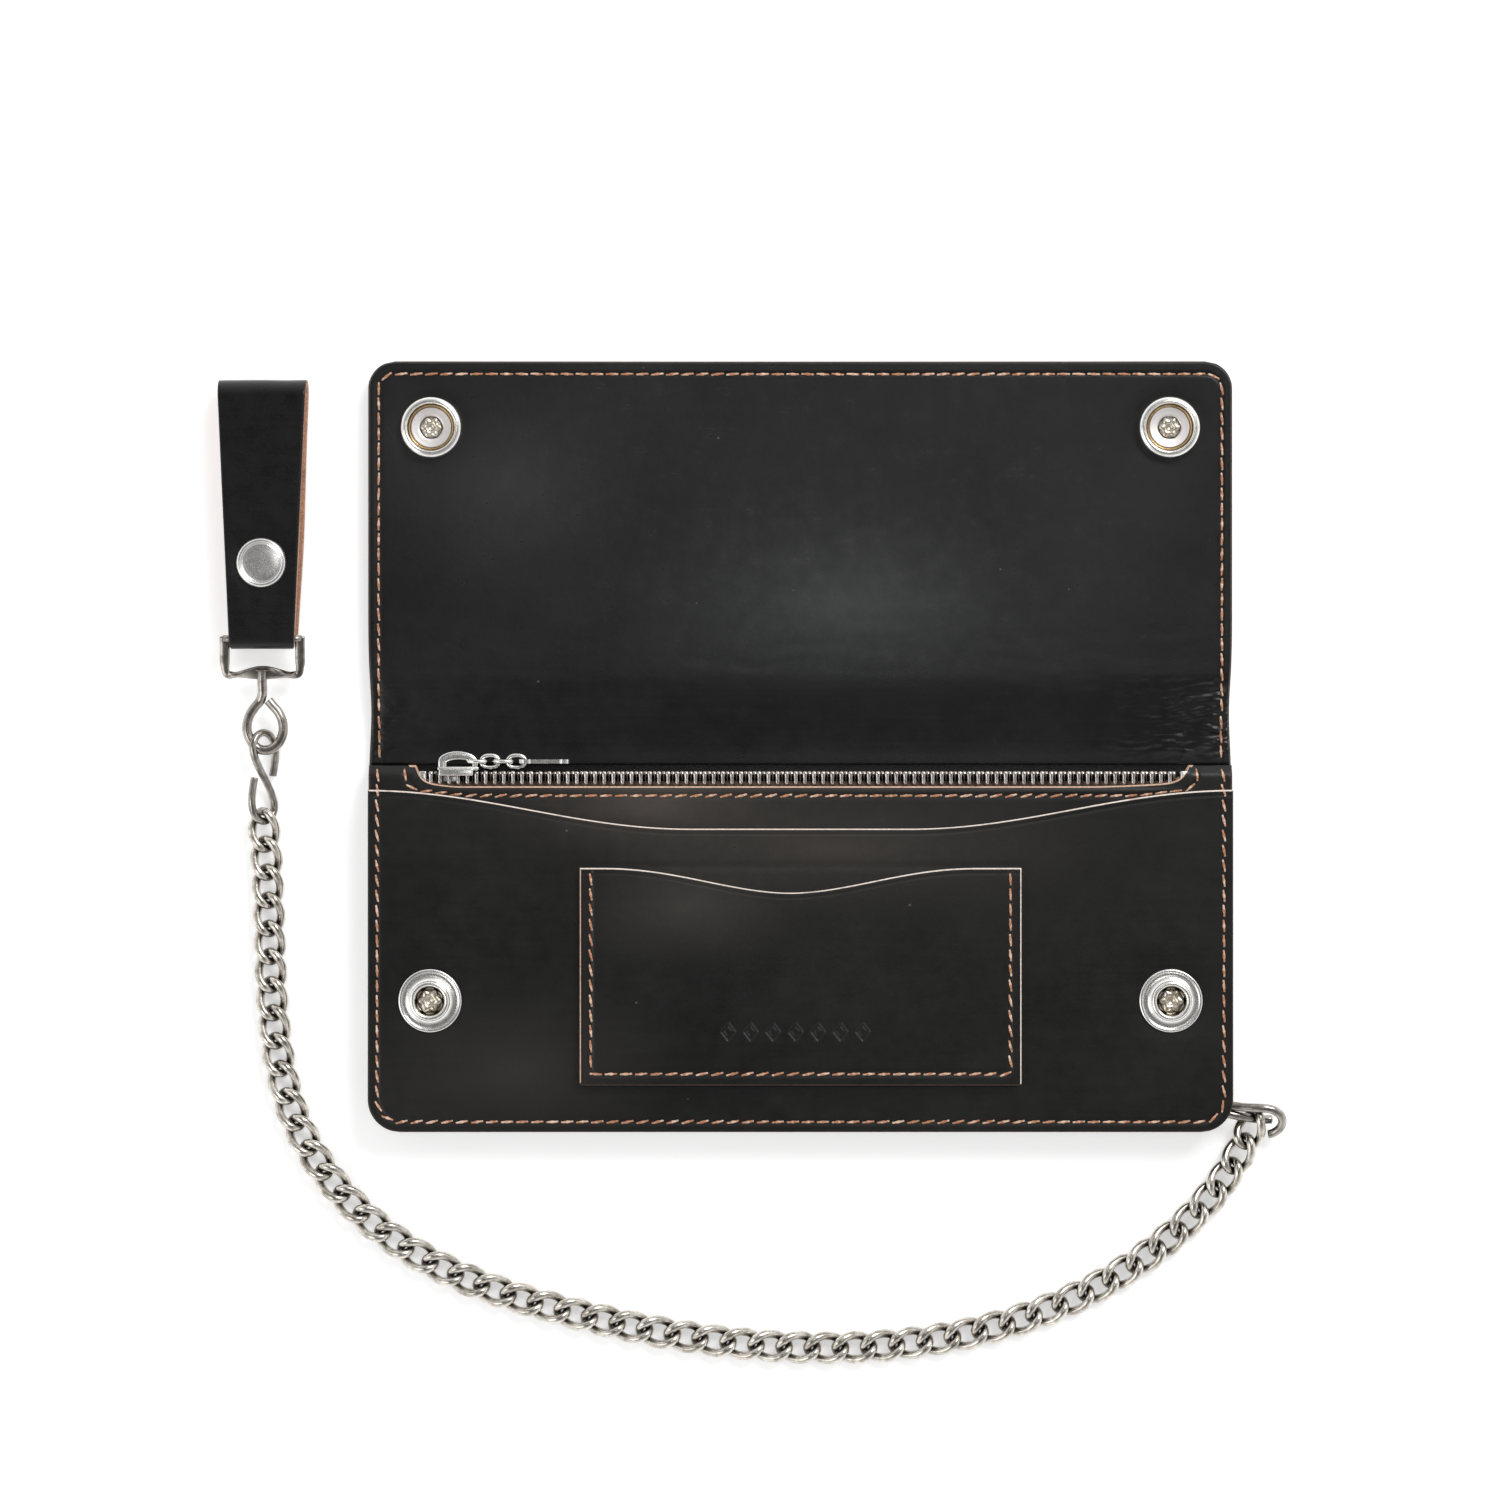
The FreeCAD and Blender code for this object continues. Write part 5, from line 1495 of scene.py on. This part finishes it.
def make_strap_snap():
    """The cap on the strap's front, with a sunk ring, and a clean finish for the parts behind it."""
    profile = [
        (4.9, 0.0), (5.4, 0.06), (5.5, 0.22), (5.46, 0.5), (5.22, 0.86), (4.98, 1.04), (4.74, 1.08),
        (4.56, 0.98), (4.42, 0.84), (4.3, 0.84), (4.16, 0.95), (3.9, 1.01), (2.0, 1.05), (0.0, 1.06),
    ]
    centre = (STRAP_MIDDLE, STRAP_SNAP_ALONG, STRAP_FACE - 0.15)
    cap = add_parts("strap_cap", [lathe_mesh(profile, centre)], SATIN)
    attach(cap, "strap_front", "nickel", "strap_snap_cap")
    for name in ("strap_snap_socket", "strap_snap_stud", "strap_snap_post"):
        dress(name, CLEAN_NICKEL)


# ---------------------------------------------------------------- swivel, hooks and chain


def dress(node, look):
    """Give a CAD node its finish."""
    item = frame["nodes"][node]
    item.data.materials.clear()
    item.data.materials.append(look)
    item.data.polygons.foreach_set("material_index", [0] * len(item.data.polygons))


SWIVEL_LOW, SWIVEL_HIGH = node_box("swivel_frame")
SWIVEL_TILT = math.radians(8.0)
SWIVEL_HALF = (SWIVEL_HIGH[0] - SWIVEL_LOW[0]) / 2 - 0.85
SWIVEL_DROP = 8.0
SWIVEL_CORNER = 1.0
SWIVEL_TWIST = math.radians(62)
TWIST_PLACE = 0.13
ROD_RADIUS = 0.8
BAR_WIDE = 1.75
BAR_THICK = 1.15
ROUND_SIDES = 20


def on_swivel(points):
    """Points given round the strap's bar, tilted down with the swivel frame and moved to its place."""
    points = np.asarray(points, float)
    along = points[:, 1] * math.cos(SWIVEL_TILT) - points[:, 2] * math.sin(SWIVEL_TILT)
    up = points[:, 1] * math.sin(SWIVEL_TILT) + points[:, 2] * math.cos(SWIVEL_TILT)
    return np.stack([points[:, 0] + STRAP_MIDDLE, along + STRAP_BAR, up + BAR_HEIGHT], axis=1)


def swivel_section(share):
    """Section of the flat bar: wide on the cheeks, twisted on the lower bar, with a boss in its middle."""
    away = abs(share - 0.5)
    twist = SWIVEL_TWIST * math.exp(-(((away - TWIST_PLACE) / 0.06) ** 2)) * (1 if share < 0.5 else -1)
    boss = math.exp(-((away / 0.07) ** 2))
    cheek = 0.45 * smooth_step(away, 0.30, 0.36)
    slim = 0.35 * math.exp(-(((away - TWIST_PLACE) / 0.05) ** 2))
    outline = band_section(BAR_WIDE + cheek + 1.3 * boss - slim, BAR_THICK)
    cosine, sine = math.cos(twist), math.sin(twist)
    across = outline[:, 0] * cosine - outline[:, 1] * sine
    upward = outline[:, 0] * sine + outline[:, 1] * cosine
    return np.stack([across, upward], axis=1)


def make_swivel_frame():
    """Frame bent from flat bar: two cheeks and a twisted lower bar, and the rod inside the strap."""
    half = SWIVEL_HALF
    drop = SWIVEL_DROP
    left_side = [
        (-half, 0.5, 0), (-half, -2.5, 0), (-half, -drop + SWIVEL_CORNER + 1.2, 0),
        (-half + 0.35, -drop + 0.35, 0), (-half + 1.6, -drop, 0), (-half / 2, -drop + 0.25, 0),
    ]
    right_side = [(-across, along, up) for across, along, up in reversed(left_side)]
    course = curve_through(left_side + [(0, -drop + 0.55, 0)] + right_side, 121)
    bar = tube_mesh(course, ROD_RADIUS, ROUND_SIDES, section=swivel_section)
    rod_path = np.array([(x, 0, 0) for x in np.linspace(-half - 0.4, half + 0.4, 12)])
    points, faces = joined([bar, tube_mesh(rod_path, ROD_RADIUS, ROUND_SIDES)])
    piece = add_mesh("swivel_frame_bar", on_swivel(points), faces, [SOFT_NICKEL])
    attach(piece, "swivel_frame", "nickel", "swivel_frame")


def make_swivel_rivet():
    """The turned head and collar that hold the eye in the middle of the frame's lower bar."""
    head = [(0.0, -0.15), (1.1, -0.15), (1.25, 0.0), (1.25, 0.35), (1.05, 0.55), (0.0, 0.62)]
    collar = [(0.9, 0.5), (1.7, 0.5), (1.85, 0.65), (1.8, 0.9), (1.6, 1.02), (0.0, 1.1)]
    discs = []
    for profile in (head, collar):
        points, faces = lathe_mesh(profile, (0, 0, 0), 48)
        along = -SWIVEL_DROP + 0.75 + 0.5 * points[:, 2]
        discs.append((on_swivel(np.stack([points[:, 0], along, -points[:, 1]], axis=1)), faces))
    attach(add_parts("swivel_rivet_head", discs, SOFT_NICKEL), "swivel_eye", "nickel")


def round_wire(node, extra, look, slot_name):
    """The CAD wire of a node with its full plated thickness: a welded copy, swollen by a small amount."""
    source = frame["nodes"][node]
    shape = bmesh.new()
    shape.from_mesh(source.data)
    bmesh.ops.remove_doubles(shape, verts=shape.verts, dist=0.000001)
    shape.normal_update()
    places = np.array([tuple(point.co) for point in shape.verts]) / MM
    outward = np.array([tuple(point.normal) for point in shape.verts])
    faces = [[point.index for point in face.verts] for face in shape.faces]
    shape.free()
    piece = add_mesh(node + "_plated", places + outward * extra, faces, [look])
    attach(piece, source["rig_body"], slot_name, node)


EYE_WIRE = 1.08
EYE_SIDES = 28


def make_swivel_eye():
    """Round wire that hangs from the frame's lower bar and is bent into a nearly closed eye."""
    low, high = node_box("swivel_eye")
    middle = (low[2] + high[2]) / 2
    bends = [
        (-118.1, 9.4, 5.6), (-118.1, 6.6, 5.5), (-118.1, 4.4, 5.2), (-118.7, 2.7, middle),
        (-120.0, 1.1, middle), (-121.2, -1.0, middle), (-121.5, -3.6, middle), (-120.6, -6.1, middle),
        (-118.8, -7.8, middle),
        (-116.6, -7.9, middle), (-114.6, -6.5, middle), (-113.6, -4.2, middle), (-113.7, -1.8, middle),
        (-114.6, 0.3, middle), (-115.8, 1.7, middle), (-116.8, 2.9, middle),
    ]
    wire = tube_mesh(curve_through(bends, 150), EYE_WIRE, EYE_SIDES)
    piece = add_parts("swivel_eye_wire", [wire], SOFT_NICKEL)
    attach(piece, "swivel_eye", "nickel", "swivel_eye")


# how much thicker than the CAD's wire each plated wire is
WIRE_PLATING = 0.05
WALLET_HOOK_PLATING = 0.12
LINK_PLATING = 0.07


def make_metalwork():
    """The hooks, the eye and the chain, and the finish of the pull and the hidden rivet."""
    make_swivel_eye()
    round_wire("s_hook_strap", WIRE_PLATING, SOFT_NICKEL, "nickel")
    round_wire("s_hook_wallet", WALLET_HOOK_PLATING, SOFT_NICKEL, "nickel")
    for node in sorted(frame["nodes"]):
        if node.startswith("chain_segment_"):
            round_wire(node, WIRE_PLATING, ANTIQUE, "chain_metal")
    for node in ("pull_link_1", "pull_link_2", "pull_link_3", "pull_link_4"):
        round_wire(node, LINK_PLATING, NICKEL, "nickel")
    for node in ("pull_tab", "anchor_rivet", "anchor_rivet_cap"):
        dress(node, CLEAN_NICKEL)


# ---------------------------------------------------------------- studio

CAMERA_PLACE = (-0.01104, -0.00798, 1.037)
CAMERA_LENS = 112.8
CAMERA_SENSOR = 36.0
FLOOR_REACH = 3.0
FLOOR_DROP = 0.0001
SIDE_LIGHT = 1.25
ZENITH_LIGHT = 0.15


def make_floor():
    """A wide white table just under the wallet."""
    reach = FLOOR_REACH
    corners = [(-reach, -reach, 0), (reach, -reach, 0), (reach, reach, 0), (-reach, reach, 0)]
    mesh = bpy.data.meshes.new("studio_floor")
    mesh.from_pydata(corners, [], [(0, 1, 2, 3)])
    mesh.materials.append(floor_material())
    floor = bpy.data.objects.new("studio_floor", mesh)
    floor.location.z = -FLOOR_DROP
    bpy.context.scene.collection.objects.link(floor)


def add_light(name, place, aim, size, power):
    """A rectangular lamp that points at aim."""
    light = bpy.data.lights.new(name, "AREA")
    light.shape = "RECTANGLE"
    light.size, light.size_y = size
    light.energy = power
    lamp = bpy.data.objects.new(name, light)
    bpy.context.scene.collection.objects.link(lamp)
    lamp.location = place
    lamp.rotation_euler = (Vector(aim) - Vector(place)).to_track_quat("-Z", "Y").to_euler()


def make_world():
    """Even light from the sides that fades towards the zenith, so that the dark leather stays dark."""
    world = bpy.data.worlds.new("studio")
    world.use_nodes = True
    tree = world.node_tree
    background = tree.nodes["Background"]
    background.inputs["Strength"].default_value = 1.0
    where = tree.nodes.new("ShaderNodeTexCoord")
    parts = tree.nodes.new("ShaderNodeSeparateXYZ")
    fade = tree.nodes.new("ShaderNodeValToRGB")
    side, zenith = fade.color_ramp.elements
    side.position = 0.15
    side.color = (SIDE_LIGHT, SIDE_LIGHT, SIDE_LIGHT, 1)
    zenith.position = 0.97
    zenith.color = (ZENITH_LIGHT, ZENITH_LIGHT, ZENITH_LIGHT, 1)
    tree.links.new(where.outputs["Generated"], parts.inputs[0])
    tree.links.new(parts.outputs["Z"], fade.inputs["Fac"])
    tree.links.new(fade.outputs["Color"], background.inputs["Color"])
    bpy.context.scene.world = world


def make_studio():
    """World, lights, table and the camera that looks down on the wallet as the photo does."""
    make_world()
    add_light("key_light", (0.55, 0.75, 0.95), (0, 0, 0), (0.6, 0.6), 9)
    add_light("soft_top", (0.06, 0.16, 1.25), (0, 0.02, 0), (0.30, 0.20), 0.4)
    add_light("fill_light", (-0.7, -0.3, 0.8), (0, 0, 0), (0.6, 0.6), 2)
    make_floor()
    lens = bpy.data.cameras.new("camera")
    lens.lens = CAMERA_LENS
    lens.sensor_width = CAMERA_SENSOR
    lens.clip_start = 0.01
    camera = bpy.data.objects.new("camera", lens)
    camera.location = CAMERA_PLACE
    bpy.context.scene.collection.objects.link(camera)
    bpy.context.scene.camera = camera
    bpy.context.scene.view_settings.view_transform = "Standard"


make_outer_leather()
make_lining()
make_zip_pocket()
make_front_panel()
make_card_pocket()
make_stitching()
make_snaps()
make_zip_teeth()
make_zip_tape("zip_tape_front", "zipper_tape_front", 6.0, 1)
make_zip_tape("zip_tape_back", "zipper_tape_back", 4.0, -1)
make_slider()
make_stops()
make_strap()
make_strap_wrap()
make_strap_snap()
make_swivel_frame()
make_swivel_rivet()
make_metalwork()
make_studio()
